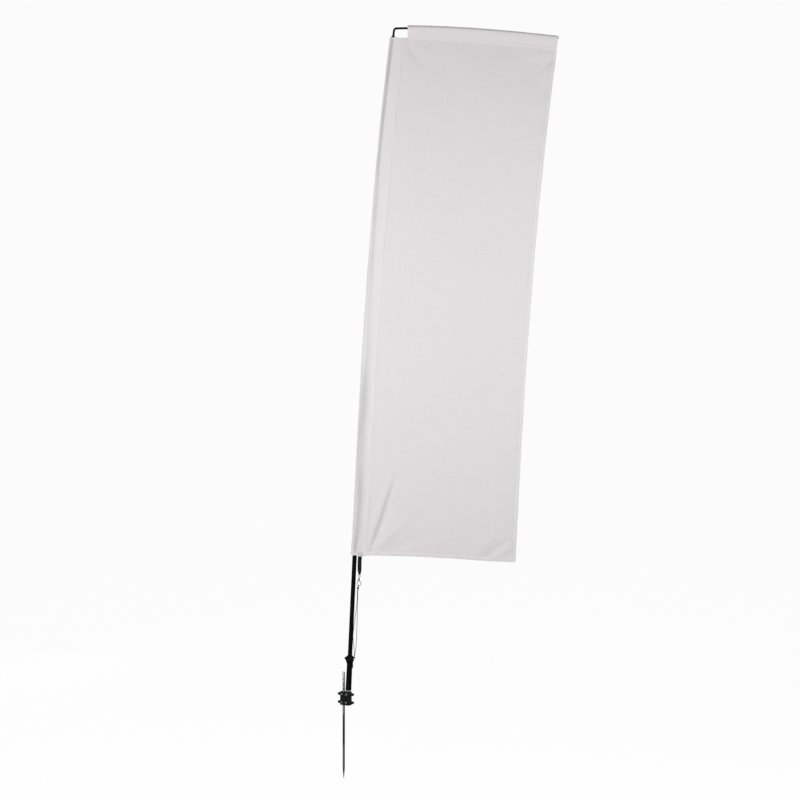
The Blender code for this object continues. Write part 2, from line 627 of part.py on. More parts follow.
def make_collar(black, steel, swivel):
    """The collar on the socket's top, with a horn on each side for the tether cord."""
    inner = SOCKET_NECK_D / 2 + TOUCH_GAP
    throat = SOCKET_BORE_R + TOUCH_GAP
    bell = COLLAR_BELL_D / 2
    collar = turned("tether_collar", [
        (inner, COLLAR_BOTTOM), (inner + COLLAR_WALL, COLLAR_BOTTOM), (bell, COLLAR_BELL_HEIGHT),
        (bell, COLLAR_BELL_HEIGHT + 0.0035), (throat + 0.0015, COLLAR_TOP), (throat, COLLAR_TOP),
        (throat, SOCKET_TOP + TOUCH_GAP), (inner, SOCKET_TOP + TOUCH_GAP),
    ], black, swivel, ring=True)
    root = inner + 0.0012
    saddle = horn_saddle()
    horn = [
        (root + 0.001, HORN_HEIGHT + 0.0008), ((root + saddle) / 2, HORN_HEIGHT + 0.0004),
        (saddle, HORN_HEIGHT),
        (HORN_REACH - 0.0016, HORN_HEIGHT - HORN_DROOP * 0.35), (HORN_REACH, HORN_HEIGHT - HORN_DROOP),
    ]
    radii = [HORN_R + 0.0004, HORN_R, HORN_R, HORN_R * 0.8, HORN_TIP_R]
    for name, side in (("collar_horn_right", 1), ("collar_horn_left", -1)):
        part = tube_mesh(name, [Vector((side * x, 0.0, z)) for x, z in horn], radii, parent=swivel)
        combine(collar, part, "UNION")
    tongue = prism("collar_tongue", [
        (root - 0.0010, TONGUE_BOTTOM), (inner + TONGUE_THICKNESS, TONGUE_BOTTOM + 0.001),
        (inner + TONGUE_THICKNESS, COLLAR_BOTTOM + 0.006), (root - 0.0010, COLLAR_BOTTOM + 0.006),
    ], TONGUE_WIDTH, parent=swivel)
    combine(collar, tongue, "UNION")
    cut = rods("collar_clearance", [
        ((0.0, 0.0, TONGUE_BOTTOM - 0.01), (0.0, 0.0, SOCKET_TOP + 2 * TOUCH_GAP), inner + TOUCH_GAP / 2)],
        swivel, facets=ROUND)
    combine(collar, cut, "DIFFERENCE")
    height = (TONGUE_BOTTOM + COLLAR_BOTTOM) / 2 - 0.003
    hole = rods("collar_screw_hole", [
        ((inner - 0.002, 0.0, height), (inner + 0.01, 0.0, height), COLLAR_SCREW_D / 2 + TOUCH_GAP)],
        swivel, facets=12)
    combine(collar, hole, "DIFFERENCE")
    r = COLLAR_SCREW_D / 2
    screw = turned("collar_screw", [
        (0.0, inner), (r, inner), (r, inner + TONGUE_THICKNESS + TOUCH_GAP),
        (r + 0.0012, inner + TONGUE_THICKNESS + TOUCH_GAP), (r + 0.0006, inner + TONGUE_THICKNESS + 0.0016),
        (0.0, inner + TONGUE_THICKNESS + 0.0018),
    ], steel, swivel, facets=12)
    screw.matrix_local = Matrix.Translation((0.0, 0.0, height)) @ Matrix.Rotation(math.pi / 2, 4, "Y")


def horn_saddle():
    """How far from the socket's axis the cord lies round a horn."""
    return COLLAR_BELL_D / 2 + CORD_D / 2 + HORN_ROOM


def along_pole(start, end, count, low_r, high_r=None):
    lengths = spaced(start, end, count)
    return [pole_point(s) for s in lengths], spaced(low_r, high_r or low_r, count)


def make_pole(black, rubber, swivel):
    r, upper_r, tip_r = POLE_D / 2, POLE_UPPER_D / 2, POLE_TIP_D / 2
    bore = r - POLE_WALL
    plug = bore - TOUCH_GAP
    rest = SEAT_HEIGHT + TOUCH_GAP
    turned("pole_foot", [
        (0.0, rest), (r - 0.0006, rest), (r - 0.0002, rest + FOOT_H), (plug, rest + FOOT_H),
        (plug, rest + FOOT_H + FOOT_PLUG), (0.0, rest + FOOT_H + FOOT_PLUG),
    ], rubber, swivel)
    joint = POLE_JOINT
    points, radii = along_pole(POLE_FOOT, joint - TOUCH_GAP / 2, 12, r)
    tube("pole_lower", points, radii, black, wall=POLE_WALL)
    points, radii = along_pole(joint + TOUCH_GAP / 2, POLE_END, 12, upper_r, tip_r)
    tube("pole_upper", points, radii, black, wall=POLE_UPPER_WALL)
    fit = min(bore, upper_r - POLE_UPPER_WALL) - SLIP_GAP
    points, radii = along_pole(joint - SPIGOT_REACH, joint + SPIGOT_REACH, 6, fit, fit - 0.0002)
    tube("pole_spigot", points, radii, black, resolution=4)
    outer = r + TOUCH_GAP + FERRULE_WALL
    points, radii = along_pole(joint - FERRULE_REACH, joint - TOUCH_GAP / 2, 3, outer)
    tube("joint_ferrule", points, radii, black, wall=FERRULE_WALL)
    outer = tip_r + 0.0002 + TOUCH_GAP + FERRULE_WALL
    points, radii = along_pole(POLE_END - TOP_FERRULE_REACH, POLE_END, 3, outer)
    tube("tip_ferrule", points, radii, black, wall=FERRULE_WALL)


def make_arm(black, rubber):
    path = corner_path()
    tube("corner_tube", path, [CORNER_R] * len(path), black, wall=CORNER_WALL, resolution=4)
    lengths = spaced(CORNER_ARM - ARM_PLUG, ARM_LENGTH - ARM_CAP_WALL - TOUCH_GAP, 14)
    tube("arm_rod", [arm_point(s) for s in lengths], [ARM_R] * 14, black, resolution=3)
    tip = arm_point(ARM_LENGTH)
    angle = arm_rise(ARM_LENGTH)
    cap_frame = frame_empty("arm_tip", tip, tilt=math.pi / 2 - angle)
    bore, wall = ARM_R + TOUCH_GAP, ARM_CAP_WALL
    turned("arm_cap", [
        (0.0, -wall), (bore, -wall), (bore, -ARM_CAP_L), (ARM_CAP_D / 2, -ARM_CAP_L),
        (ARM_CAP_D / 2, -0.0015), (ARM_CAP_D / 2 - 0.0015, 0.0), (0.0, 0.0),
    ], rubber, cap_frame, facets=16)


def make_banner(cloth):
    wall, r = CLOTH, SLEEVE_D / 2
    points, radii = along_pole(SLEEVE_BOTTOM, SLEEVE_TOP - 0.0035, 14, r)
    tube("pole_sleeve", points, radii, cloth, wall=wall, resolution=4)
    pocket_r = POCKET_D / 2
    lengths = spaced(POCKET_START, ARM_LENGTH + 0.003, 12)
    tube("arm_pocket", [arm_point(s) for s in lengths], [pocket_r] * 12, cloth, wall=wall, resolution=3)

    edge = r + TOUCH_GAP
    left = [pole_point(s, edge) for s in spaced(SLEEVE_BOTTOM, SLEEVE_TOP - 0.0045, 20)]
    low_right = pole_point(SLEEVE_BOTTOM).z - PANEL_BOTTOM_DROP
    below = pocket_r + TOUCH_GAP
    top = [arm_point(s, below) for s in spaced(POCKET_START, ARM_LENGTH - 0.002, 12)]
    heights = spaced(low_right, top[-1].z - 0.012, 20)
    right = [Vector((free_edge(z), PLANE_Y, z)) for z in heights]
    notch = Vector((top[0].x, PLANE_Y, left[-1].z))
    outline = [*left[::-1], *right, *top[::-1], notch]
    panel = prism("flag_panel", [(p.x, p.z) for p in outline], wall, cloth)
    panel.location = (0.0, PLANE_Y, 0.0)


def make_strap(webbing):
    z = STRAP_TOP
    x = pole_point(z).x + (SLEEVE_D + STRAP_WIDTH) / 2 + STRAP_ASIDE
    tip_z = HOOK_EYE[1] + EYE_R + EYE_WIRE / 2 + TOUCH_GAP
    tip_x = HOOK_EYE[0] + (EYE_R + EYE_WIRE / 2) * math.sin(HOOK_LEAN)
    half, tip_half = STRAP_WIDTH / 2, STRAP_TIP_WIDTH / 2
    bend_z = tip_z + STRAP_TAPER
    bend_x = tip_x + (x - tip_x) * (bend_z - tip_z) / (z - tip_z)
    strap = prism("tether_strap", [
        (tip_x - tip_half, tip_z), (tip_x + tip_half, tip_z), (bend_x + half, bend_z), (x + half, z),
        (x - half, z), (bend_x - half, bend_z),
    ], STRAP_THICKNESS, webbing)
    strap.location = (0.0, PLANE_Y + CLOTH / 2 + TOUCH_GAP + STRAP_THICKNESS / 2, 0.0)


def make_snap_hook(nickel, cord_black):
    eye = frame_empty("hook_axis", (HOOK_EYE[0], PLANE_Y, HOOK_EYE[1]), tilt=HOOK_LEAN)
    wire = EYE_WIRE / 2
    bm = bmesh.new()
    ring = [(EYE_R + wire * math.cos(a), 0.0, wire * math.sin(a)) for a in spaced(0, 2 * math.pi * 7 / 8, 8)]
    spun(bm, ring, ring=True, facets=20)
    bmesh.ops.rotate(bm, verts=bm.verts, cent=(0, 0, 0), matrix=Matrix.Rotation(math.pi / 2, 3, "X"))
    swivel_eye = from_bmesh("swivel_eye", bm, nickel, eye)
    bore = RIVET_D / 2 + TOUCH_GAP
    floor = BARREL_TOP - BARREL_H + BARREL_FLOOR
    stem = turned("swivel_stem", [
        (0.0, -EYE_R + wire * 0.5), (STEM_D / 2, -EYE_R + wire * 0.5), (STEM_D / 2, floor + 0.0022),
        (RIVET_D / 2, floor + 0.0022), (RIVET_D / 2, floor + TOUCH_GAP), (0.0, floor + TOUCH_GAP),
    ], nickel, eye, facets=12)
    combine(swivel_eye, stem, "UNION")

    neck = STEM_D / 2 + TOUCH_GAP
    barrel_r = BARREL_D / 2
    bottom = BARREL_TOP - BARREL_H
    roof = floor + 0.0022 + TOUCH_GAP
    barrel = [
        (0.0, bottom), (barrel_r - 0.001, bottom), (barrel_r, bottom + 0.001),
        (barrel_r, BARREL_TOP - 0.0006), (barrel_r - 0.0006, BARREL_TOP), (neck, BARREL_TOP),
        (neck, roof), (bore, roof), (bore, floor), (0.0, floor),
    ]
    body = turned("hook_body", barrel, nickel, eye, facets=16)
    bow = [Vector((0.0, 0.0, bottom + 0.0006)), Vector((0.0022, 0.0, bottom - 0.0022))]
    centre = Vector((BOW_ASIDE, 0.0, -BOW_DROP))
    bow += [centre + BOW_R * Vector((math.cos(a), 0.0, math.sin(a))) for a in spaced(BOW_START, BOW_END, 15)]
    radii = [0.0019, 0.0016] + [BOW_WIRE / 2] * 15
    bow_part = tube_mesh("hook_bow", bow, radii, parent=eye)
    combine(body, bow_part, "UNION")
    px, pz = GATE_PIVOT
    cheek = [(px - 0.0017, pz - 0.0016), (px + 0.0017, pz - 0.0016), (0.0016, bottom + 0.0004),
             (0.0010, bottom + 0.0018), (-0.0022, bottom + 0.0018)]
    between = GATE_D + 2 * TOUCH_GAP + 0.0006
    for name, sign in (("front_cheek", -1), ("back_cheek", 1)):
        part = prism(name, cheek, CHEEK_THICKNESS, parent=eye,
                     place=Matrix.Translation((0.0, sign * (between + CHEEK_THICKNESS) / 2, 0.0)))
        combine(body, part, "UNION")
    pin_r = GATE_PIN_D / 2
    hole = rods("gate_pin_hole", [((px, -0.005, pz), (px, 0.005, pz), pin_r + TOUCH_GAP)], eye, facets=12)
    combine(body, hole, "DIFFERENCE")
    reach = between / 2 + CHEEK_THICKNESS + 0.0004
    pin_profile = [(0.0, -reach), (pin_r, -reach), (pin_r, reach), (0.0, reach)]
    pin = turned("gate_pin", pin_profile, nickel, eye, facets=12)
    pin.matrix_local = Matrix.Translation((px, 0.0, pz)) @ Matrix.Rotation(math.pi / 2, 4, "X")

    pivot = frame_empty("gate_axis", (px, 0.0, pz), parent=eye)
    tip = centre + Vector((-(BOW_R - GATE_TIP_INSET), 0.0, 0.0)) - Vector((px, 0.0, pz))
    inner, outer, knuckle = pin_r + TOUCH_GAP, pin_r + 0.0012, GATE_D / 2 + 0.0003
    gate_profile = [(inner, -knuckle), (outer, -knuckle), (outer, knuckle), (inner, knuckle)]
    gate = turned("hook_gate", gate_profile, nickel, pivot, ring=True, facets=12)
    gate.data.transform(Matrix.Rotation(math.pi / 2, 4, "X"))
    leaf = tube_mesh("gate_leaf", [tip * 0.155, tip * 0.5, tip], [GATE_D / 2] * 3, parent=pivot)
    combine(gate, leaf, "UNION")

    bottom, r = WHIPPING_TOP - WHIPPING_H, WHIPPING_D / 2
    turned("cord_whipping", [
        (0.0, bottom), (r - 0.0012, bottom), (r, bottom + 0.0012), (r, WHIPPING_TOP - 0.0012),
        (r - 0.0012, WHIPPING_TOP), (0.0, WHIPPING_TOP),
    ], cord_black, eye, facets=16)
    wire_z, round_r = -BOW_DROP - BOW_R, BOW_WIRE / 2 + CORD_D / 2 + 0.0005
    leg = CORD_D / 2 + 0.0002
    start = WHIPPING_TOP + TOUCH_GAP
    x = BOW_ASIDE * 0.5
    loop = [(x, -leg, start), (x, -leg, start + 0.0004), (x, -leg * 1.6, start + 0.0014)]
    for a in spaced(-0.35, math.pi + 0.35, 9):
        loop.append((x, -round_r * math.cos(a), wire_z + round_r * math.sin(a)))
    loop += [(x, leg * 1.6, start + 0.0014), (x, leg, start + 0.0004), (x, leg, start)]
    tube("cord_eye", loop, [CORD_D / 2] * len(loop), cord_black, eye, resolution=CORD_ROUND)


def cord_route():
    """The cord's way: out of the whipping, round the collar's right horn and back, as a loop."""
    low = WHIPPING_TOP - WHIPPING_H - TOUCH_GAP
    starts = [hook_point(STRAND_SPACING / 2 * side, 0.0, low) for side in (1, -1)]
    after = [hook_point(STRAND_SPACING / 2 * side, 0.0, low - 0.012) for side in (1, -1)]
    turn = HORN_R + TOUCH_GAP + CORD_D / 2
    under = [
        swivel_point(horn_saddle(), -turn * math.cos(a), HORN_HEIGHT - turn * math.sin(a))
        for a in spaced(0.0, math.pi, 9)
    ]
    front, back = (
        [pole_point(s, POLE_D / 2 + aside) + Vector((0.0, behind, 0.0)) for s, aside, behind in strand]
        for strand in (FRONT_STRAND, BACK_STRAND)
    )
    return smooth_route([starts[0], after[0], *front, *under, *back, after[1], starts[1]], CORD_STEP)


def make_cord(cord_black):
    route = cord_route()
    tube("tether_cord", route, [CORD_D / 2] * len(route), cord_black, resolution=CORD_ROUND)


def build():
    clear_scene()
    steel = material("polished_steel", (0.62, 0.62, 0.61), 0.18, 1.0)
    zinc = material("zinc_plate", (0.45, 0.46, 0.46), 0.35, 1.0)
    cast = material("cast_black", (0.035, 0.037, 0.040), 0.55)
    black_steel = material("black_steel", (0.03, 0.03, 0.032), 0.4, 1.0)
    spring_steel = material("spring_steel", (0.25, 0.25, 0.26), 0.3, 1.0)
    nylon = material("nylon", (0.72, 0.72, 0.70), 0.5)
    black = material("black_plastic", (0.012, 0.012, 0.014), 0.35)
    pole_black = material("pole_black", (0.010, 0.010, 0.012), 0.3)
    rubber = material("rubber", (0.015, 0.015, 0.015), 0.8)
    cloth = material("white_polyester", (0.74, 0.70, 0.71), 0.85)
    webbing = material("black_webbing", (0.012, 0.012, 0.013), 0.85)
    nickel = material("nickel", (0.62, 0.61, 0.58), 0.22, 1.0)
    cord_black = material("cord_black", (0.03, 0.03, 0.032), 0.85)

    make_spike(steel)
    make_clamp(cast, black_steel, zinc)
    swivel = frame_empty("swivel_axis", (SWIVEL_FOOT_X, PLANE_Y, 0.0), tilt=LEAN)
    make_spindle(steel, spring_steel, nylon, swivel)
    make_socket(black, nylon, zinc, swivel)
    make_pole(pole_black, rubber, swivel)
    make_arm(pole_black, rubber)
    make_banner(cloth)
    make_strap(webbing)
    make_snap_hook(nickel, cord_black)
    make_cord(cord_black)


build()
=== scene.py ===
"""Looks of the banner flag: every visible piece, its finish, the studio and the camera.

World frame, in metres: the origin is on the spike's axis at ground level, +Z is up, +X points to the
flag's free edge and +Y to its back. The banner, the pole and the tether lie in the plane Y = PLANE_Y.
"""

import math
from functools import lru_cache

import bmesh
import bpy
from mathutils import Matrix, Vector, noise


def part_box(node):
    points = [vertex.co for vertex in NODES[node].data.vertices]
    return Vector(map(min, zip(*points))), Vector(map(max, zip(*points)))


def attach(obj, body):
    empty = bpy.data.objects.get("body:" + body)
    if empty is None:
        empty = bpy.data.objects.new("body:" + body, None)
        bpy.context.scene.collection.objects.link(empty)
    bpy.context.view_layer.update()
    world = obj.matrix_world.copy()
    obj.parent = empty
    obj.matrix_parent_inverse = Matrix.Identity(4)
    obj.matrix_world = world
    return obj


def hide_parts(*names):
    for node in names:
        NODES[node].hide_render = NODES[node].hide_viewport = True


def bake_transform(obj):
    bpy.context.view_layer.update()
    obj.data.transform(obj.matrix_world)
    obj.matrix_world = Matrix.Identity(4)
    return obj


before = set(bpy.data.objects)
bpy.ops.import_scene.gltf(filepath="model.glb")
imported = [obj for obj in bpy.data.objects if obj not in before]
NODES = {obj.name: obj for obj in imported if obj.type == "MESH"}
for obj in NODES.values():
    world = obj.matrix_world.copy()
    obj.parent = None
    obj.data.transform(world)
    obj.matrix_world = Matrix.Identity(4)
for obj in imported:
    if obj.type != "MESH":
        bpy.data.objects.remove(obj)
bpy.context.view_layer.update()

# ---- Sizes that the looks share with the frame ---------------------------------------------------
TOUCH_GAP, SLIP_GAP = 0.0003, 0.0004
SPIKE_D, SPIKE_TOP, SPIKE_DEPTH, SPIKE_POINT = 0.010, 0.1455, 0.3137, 0.046
CLAMP_YAW, BORE_SPACING = math.radians(32.5), 0.0223
CLAMP_BOTTOM, CLAMP_HEIGHT, CLAMP_LENGTH, CLAMP_DEPTH = 0.004, 0.058, 0.044, 0.028
BAND_RISE, EAR_REACH, EAR_DEPTH = 0.0175, 0.0165, 0.012
BOLT_D, BOLT_HEAD_D, BOLT_HEAD_H, BOLT_TAIL = 0.005, 0.0085, 0.004, 0.0015
NUT_CORNERS, NUT_H = 0.0092, 0.004
SCREW_D, SCREW_HEAD_D, SCREW_HEAD_H = 0.006, 0.0104, 0.0045
LEAN, SPINDLE_D, FLANGE_GAP, FLANGE_H, WASHER_H = math.radians(2.65), 0.012, 0.0012, 0.0028, 0.0014
SOCKET_TOP, SOCKET_WALL, SOCKET_FLARE, SOCKET_TAPER_TOP = 0.2125, 0.0019, 0.0024, 0.150
SOCKET_EDGE, SEAT_HEIGHT, SEAT_THICKNESS, SEAT_LIP = 0.003, 0.138, 0.004, 0.0016
COLLAR_BOTTOM, COLLAR_TOP, COLLAR_WALL, COLLAR_BELL_HEIGHT = 0.191, 0.2172, 0.0022, 0.203
COLLAR_BELL_FLARE, HORN_LENGTH, HORN_R, HORN_TIP_R = 0.0094, 0.0061, 0.0032, 0.0015
HORN_HEIGHT, HORN_ROOM, HORN_DROOP = 0.2092, 0.0012, 0.0032
TONGUE_BOTTOM, TONGUE_WIDTH, TONGUE_THICKNESS, COLLAR_SCREW_D = 0.163, 0.008, 0.0024, 0.004
POLE_D, POLE_WALL, POLE_JOINT, POLE_TIP_D, POLE_STEP = 0.019, 0.0022, 1.546, 0.0122, 0.0025
POLE_UPPER_WALL, POLE_END, POLE_TIP_LEAN, POLE_BEND_POWER = 0.0011, 2.888, math.radians(7.1), 2.3
FERRULE_REACH, FERRULE_WALL, FOOT_H, TOP_FERRULE_REACH = 0.022, 0.0010, 0.003, 0.016
CORNER_D, CORNER_WALL, CORNER_PLUG, CORNER_LEG, CORNER_RADIUS = 0.0092, 0.0011, 0.060, 0.0235, 0.0115
CORNER_ARM, ARM_D, ARM_LENGTH, ARM_PLUG = 0.075, 0.0062, 0.699, 0.055
ARM_RISE, ARM_DROOP, ARM_DROOP_POWER = math.radians(2.5), math.radians(8.8), 0.5
ARM_CAP_D, ARM_CAP_L, ARM_CAP_WALL = 0.0090, 0.014, 0.0012
SLEEVE_BOTTOM, SLEEVE_SHORT = 0.652, 0.006
PANEL_INSET, PANEL_TOP_FLARE, PANEL_BOTTOM_DROP = 0.007, 0.021, 0.0320
STRAP_WIDTH, STRAP_TIP_WIDTH, STRAP_TOP, STRAP_TAPER = 0.017, 0.010, 0.655, 0.020
HOOK_EYE, HOOK_LEAN, EYE_R, EYE_WIRE = (0.0677, 0.560), math.radians(6.45), 0.0046, 0.0022
STEM_D, BARREL_D, BARREL_TOP, BARREL_H = 0.0024, 0.0066, -0.0085, 0.0100
BOW_R, BOW_ASIDE, BOW_DROP, BOW_WIRE = 0.0092, 0.0018, 0.0330, 0.0026
BOW_START, BOW_END = math.radians(62), math.radians(-185)
GATE_D, GATE_PIN_D, GATE_PIVOT, GATE_TIP_INSET = 0.0018, 0.0012, (-0.0047, -0.0237), 0.0027
CHEEK_THICKNESS = 0.0012
CORD_D, WHIPPING_D, WHIPPING_H, WHIPPING_TOP = 0.0022, 0.0078, 0.0104, -0.0470
CORD_STEP, STRAND_SPACING = 0.0125, 0.0026
# Each strand as (length up the pole, distance from the pole's side, distance behind the pole's middle).
FRONT_STRAND = (
    (0.469, 0.0126, 0.0000), (0.420, 0.0127, -0.0005), (0.378, 0.0140, -0.0012), (0.327, 0.0145, -0.0022),
    (0.275, 0.0149, -0.0032), (0.236, 0.0128, -0.0039),
)
BACK_STRAND = (
    (0.245, 0.0069, 0.0058), (0.275, 0.0019, 0.0075), (0.300, -0.0005, 0.0078), (0.320, 0.0002, 0.0062),
    (0.345, 0.0019, 0.0038), (0.378, 0.0043, 0.0020), (0.412, 0.0075, 0.0007), (0.469, 0.0103, 0.0000),
)

CLAMP_MIDDLE, CLAMP_TOP = CLAMP_BOTTOM + CLAMP_HEIGHT / 2, CLAMP_BOTTOM + CLAMP_HEIGHT
PLANE_Y = -BORE_SPACING * math.sin(CLAMP_YAW)
SWIVEL_FOOT_X = BORE_SPACING * math.cos(CLAMP_YAW) - CLAMP_MIDDLE * math.tan(LEAN)
SLEEVE_TOP = POLE_END - SLEEVE_SHORT
CLOTH_TOP = SLEEVE_TOP - 0.001
PANEL_BOTTOM_WIDTH = ARM_LENGTH - PANEL_INSET
FLANGE_BOTTOM = CLAMP_TOP + FLANGE_GAP
FLANGE_TOP = FLANGE_BOTTOM + FLANGE_H
WASHER_BOTTOM = FLANGE_TOP + TOUCH_GAP
SOCKET_BOTTOM = WASHER_BOTTOM + WASHER_H + TOUCH_GAP
SOCKET_BORE_R = POLE_D / 2 + SLIP_GAP
SOCKET_NECK_R = SOCKET_BORE_R + SOCKET_WALL
COLLAR_BELL_R = SOCKET_NECK_R + COLLAR_BELL_FLARE / 2
HORN_REACH = COLLAR_BELL_R + HORN_LENGTH
POLE_UPPER_D = POLE_D - POLE_STEP
POLE_FOOT = SEAT_HEIGHT + TOUCH_GAP + FOOT_H + TOUCH_GAP
BEND_START = COLLAR_TOP
CORNER_R, ARM_R = CORNER_D / 2, ARM_D / 2

# ---- Sizes of the sewing -------------------------------------------------------------------------
CLOTH = 0.0005
SLEEVE_LEFT = 0.0138  # the sleeve's fold stands this far left of the pole's middle
SEAM_ASIDE = 0.036  # and its seam this far right of it
HEM_FLARE = 0.0035  # the sleeve spreads by this much at its foot
POCKET_TALL = 0.062
POCKET_START, POCKET_END = 0.048, 0.6965
POCKET_CREST = (0.0125, 0.0085)  # the pocket's fold over the rod's middle, at its start and end
SIDE_HEM, FOOT_HEM = 0.013, 0.016
SEAM_BAND = 0.013
PANEL_TALL = 2.24
STRAP_ASIDE = 0.0245  # the strap is sewn on this far right of the pole's middle
SLEEVE_FOOT = 0.028  # how wide the sleeve lies at its foot, where the strap starts beside it
STITCH, STITCH_PITCH, STITCH_R = 0.0026, 0.0038, 0.00024


# ---- Where the pole, the arm and the tilted frames run -------------------------------------------
def spaced(start, end, count):
    return [start + (end - start) * i / (count - 1) for i in range(count)]


def smooth(t):
    t = min(max(t, 0.0), 1.0)
    return t * t * (3 - 2 * t)


def swivel_point(x, y, z):
    """A point given in the socket's leaning frame."""
    return Vector((SWIVEL_FOOT_X + x * math.cos(LEAN) + z * math.sin(LEAN), PLANE_Y + y,
                   z * math.cos(LEAN) - x * math.sin(LEAN)))


def hook_point(x, y, z):
    """A point given in the snap hook's frame, whose +Z runs up through its eye."""
    return Vector((HOOK_EYE[0] + x * math.cos(HOOK_LEAN) + z * math.sin(HOOK_LEAN), PLANE_Y + y,
                   HOOK_EYE[1] + z * math.cos(HOOK_LEAN) - x * math.sin(HOOK_LEAN)))


def pole_lean(length):
    share = max(0.0, (length - BEND_START) / (POLE_END - BEND_START))
    return LEAN + (POLE_TIP_LEAN - LEAN) * share**POLE_BEND_POWER


@lru_cache(maxsize=None)
def pole_axis(length):
    straight = min(length, BEND_START)
    x = SWIVEL_FOOT_X + straight * math.sin(LEAN)
    z = straight * math.cos(LEAN)
    steps = max(1, math.ceil((length - straight) / 0.02))
    step = (length - straight) / steps
    for index in range(steps):
        lean = pole_lean(straight + (index + 0.5) * step)
        x += step * math.sin(lean)
        z += step * math.cos(lean)
    return x, z


def pole_point(length, aside=0.0):
    """A point on the pole's axis, or aside from it towards the flag."""
    x, z = pole_axis(length)
    lean = pole_lean(length)
    return Vector((x + aside * math.cos(lean), PLANE_Y, z - aside * math.sin(lean)))


def arm_rise(length):
    return ARM_RISE - ARM_DROOP * (max(length, 0.0) / ARM_LENGTH) ** ARM_DROOP_POWER


@lru_cache(maxsize=None)
def arm_axis(length):
    top = pole_point(POLE_END)
    lean, turned_lean = pole_lean(POLE_END), math.pi / 2 - ARM_RISE
    x = top.x + CORNER_LEG * math.sin(lean) + CORNER_RADIUS * (math.cos(lean) - math.cos(turned_lean))
    z = top.z + CORNER_LEG * math.cos(lean) + CORNER_RADIUS * (math.sin(turned_lean) - math.sin(lean))
    steps = max(1, math.ceil(length / 0.01))
    step = length / steps
    for index in range(steps):
        angle = arm_rise((index + 0.5) * step)
        x += step * math.cos(angle)
        z += step * math.sin(angle)
    return x, z


def arm_point(length, below=0.0):
    """A point on the arm, at a length from the corner's bend, or below it."""
    x, z = arm_axis(length)
    angle = arm_rise(length)
    return Vector((x + below * math.sin(angle), PLANE_Y, z - below * math.cos(angle)))


def corner_path(turns=18):
    """The corner tube's axis: down in the pole, up its leg, round the bend and out along the arm."""
    top = pole_point(POLE_END)
    lean, turned_lean = pole_lean(POLE_END), math.pi / 2 - ARM_RISE
    up = Vector((math.sin(lean), 0.0, math.cos(lean)))
    path = [pole_point(POLE_END - share * CORNER_PLUG) for share in (1.0, 0.5)]
    path += [top, top + up * CORNER_LEG]
    start = path[-1]
    for index in range(1, turns + 1):
        angle = lean + (turned_lean - lean) * index / turns
        path.append(start + CORNER_RADIUS * Vector(
            (math.cos(lean) - math.cos(angle), 0.0, math.sin(angle) - math.sin(lean))))
    path.extend(arm_point(CORNER_ARM * share) for share in (0.25, 0.5, 0.75, 1.0))
    return path


def free_edge(height):
    """The banner's free edge: its distance from the pole grows towards the top."""
    bottom, top = pole_point(SLEEVE_BOTTOM).z, pole_point(SLEEVE_TOP).z
    share = (height - bottom) / (top - bottom)
    width = PANEL_BOTTOM_WIDTH + PANEL_TOP_FLARE * max(share, 0.0) ** 2
    return pole_point(round(SLEEVE_BOTTOM + (SLEEVE_TOP - SLEEVE_BOTTOM) * share, 4)).x + width


def smooth_route(knots, step):
    """Points on the smooth curve through the knots: every knot, and more between far ones."""
    ends = [2 * knots[0] - knots[1], *knots, 2 * knots[-1] - knots[-2]]
    route = []
    for four in zip(ends, ends[1:], ends[2:], ends[3:]):
        times = [0.0]
        for a, b in zip(four, four[1:]):
            times.append(times[-1] + (b - a).length ** 0.5)
        count = math.ceil((four[2] - four[1]).length / step)
        for index in range(count):
            now = times[1] + (times[2] - times[1]) * index / count
            points = list(four)
            for span in (1, 2):
                points = [a.lerp(b, (now - times[i]) / (times[i + span] - times[i]))
                          for i, (a, b) in enumerate(zip(points, points[1:]))]
            route.append(points[0].lerp(points[1], (now - times[1]) / (times[2] - times[1])))
    return [*route, knots[-1]]


def cord_route():
    """The cord's way: out of the whipping, round the collar's right horn and back, as a loop."""
    low = WHIPPING_TOP - WHIPPING_H - TOUCH_GAP
    starts = [hook_point(STRAND_SPACING / 2 * side, 0.0, low) for side in (1, -1)]
    after = [hook_point(STRAND_SPACING / 2 * side, 0.0, low - 0.012) for side in (1, -1)]
    turn = HORN_R + TOUCH_GAP + CORD_D / 2
    saddle = COLLAR_BELL_R + CORD_D / 2 + HORN_ROOM
    under = [
        swivel_point(saddle, -turn * math.cos(a), HORN_HEIGHT - turn * math.sin(a))
        for a in spaced(0.0, math.pi, 9)
    ]
    front, back = (
        [pole_point(s, POLE_D / 2 + aside) + Vector((0.0, behind, 0.0)) for s, aside, behind in strand]
        for strand in (FRONT_STRAND, BACK_STRAND)
    )
    return smooth_route([starts[0], after[0], *front, *under, *back, after[1], starts[1]], CORD_STEP)


def placed(name, data):
    """A new object for that data, put in the scene."""
    obj = bpy.data.objects.new(name, data)
    bpy.context.scene.collection.objects.link(obj)
    return obj


# ---- Camera, stage and lights --------------------------------------------------------------------
STUDIO_WHITE = 0.965
FLOOR_Z = -SPIKE_DEPTH - 0.0015
CAMERA_PLACE, CAMERA_LENS, CAMERA_REACH = (0.2423, PLANE_Y - 6.5, 1.316), 68.02, 60.0
LIGHTS = (  # name, place, aim, size, power
    ("key_softbox", (-1.5, -2.7, 1.82), (0.45, 0.0, 1.66), (1.2, 1.2), 80.5),
    ("fill_softbox", (2.5, -2.5, 1.80), (0.5, 0.0, 1.64), (1.2, 1.2), 57.0),
    ("low_softbox", (-1.2, -2.4, 0.25), (0.0, 0.0, 0.1), (0.8, 0.6), 5.0),
    ("rim_softbox", (-2.4, 3.2, 1.8), (0.2, 0.0, 1.4), (1.2, 2.6), 30.0),
)


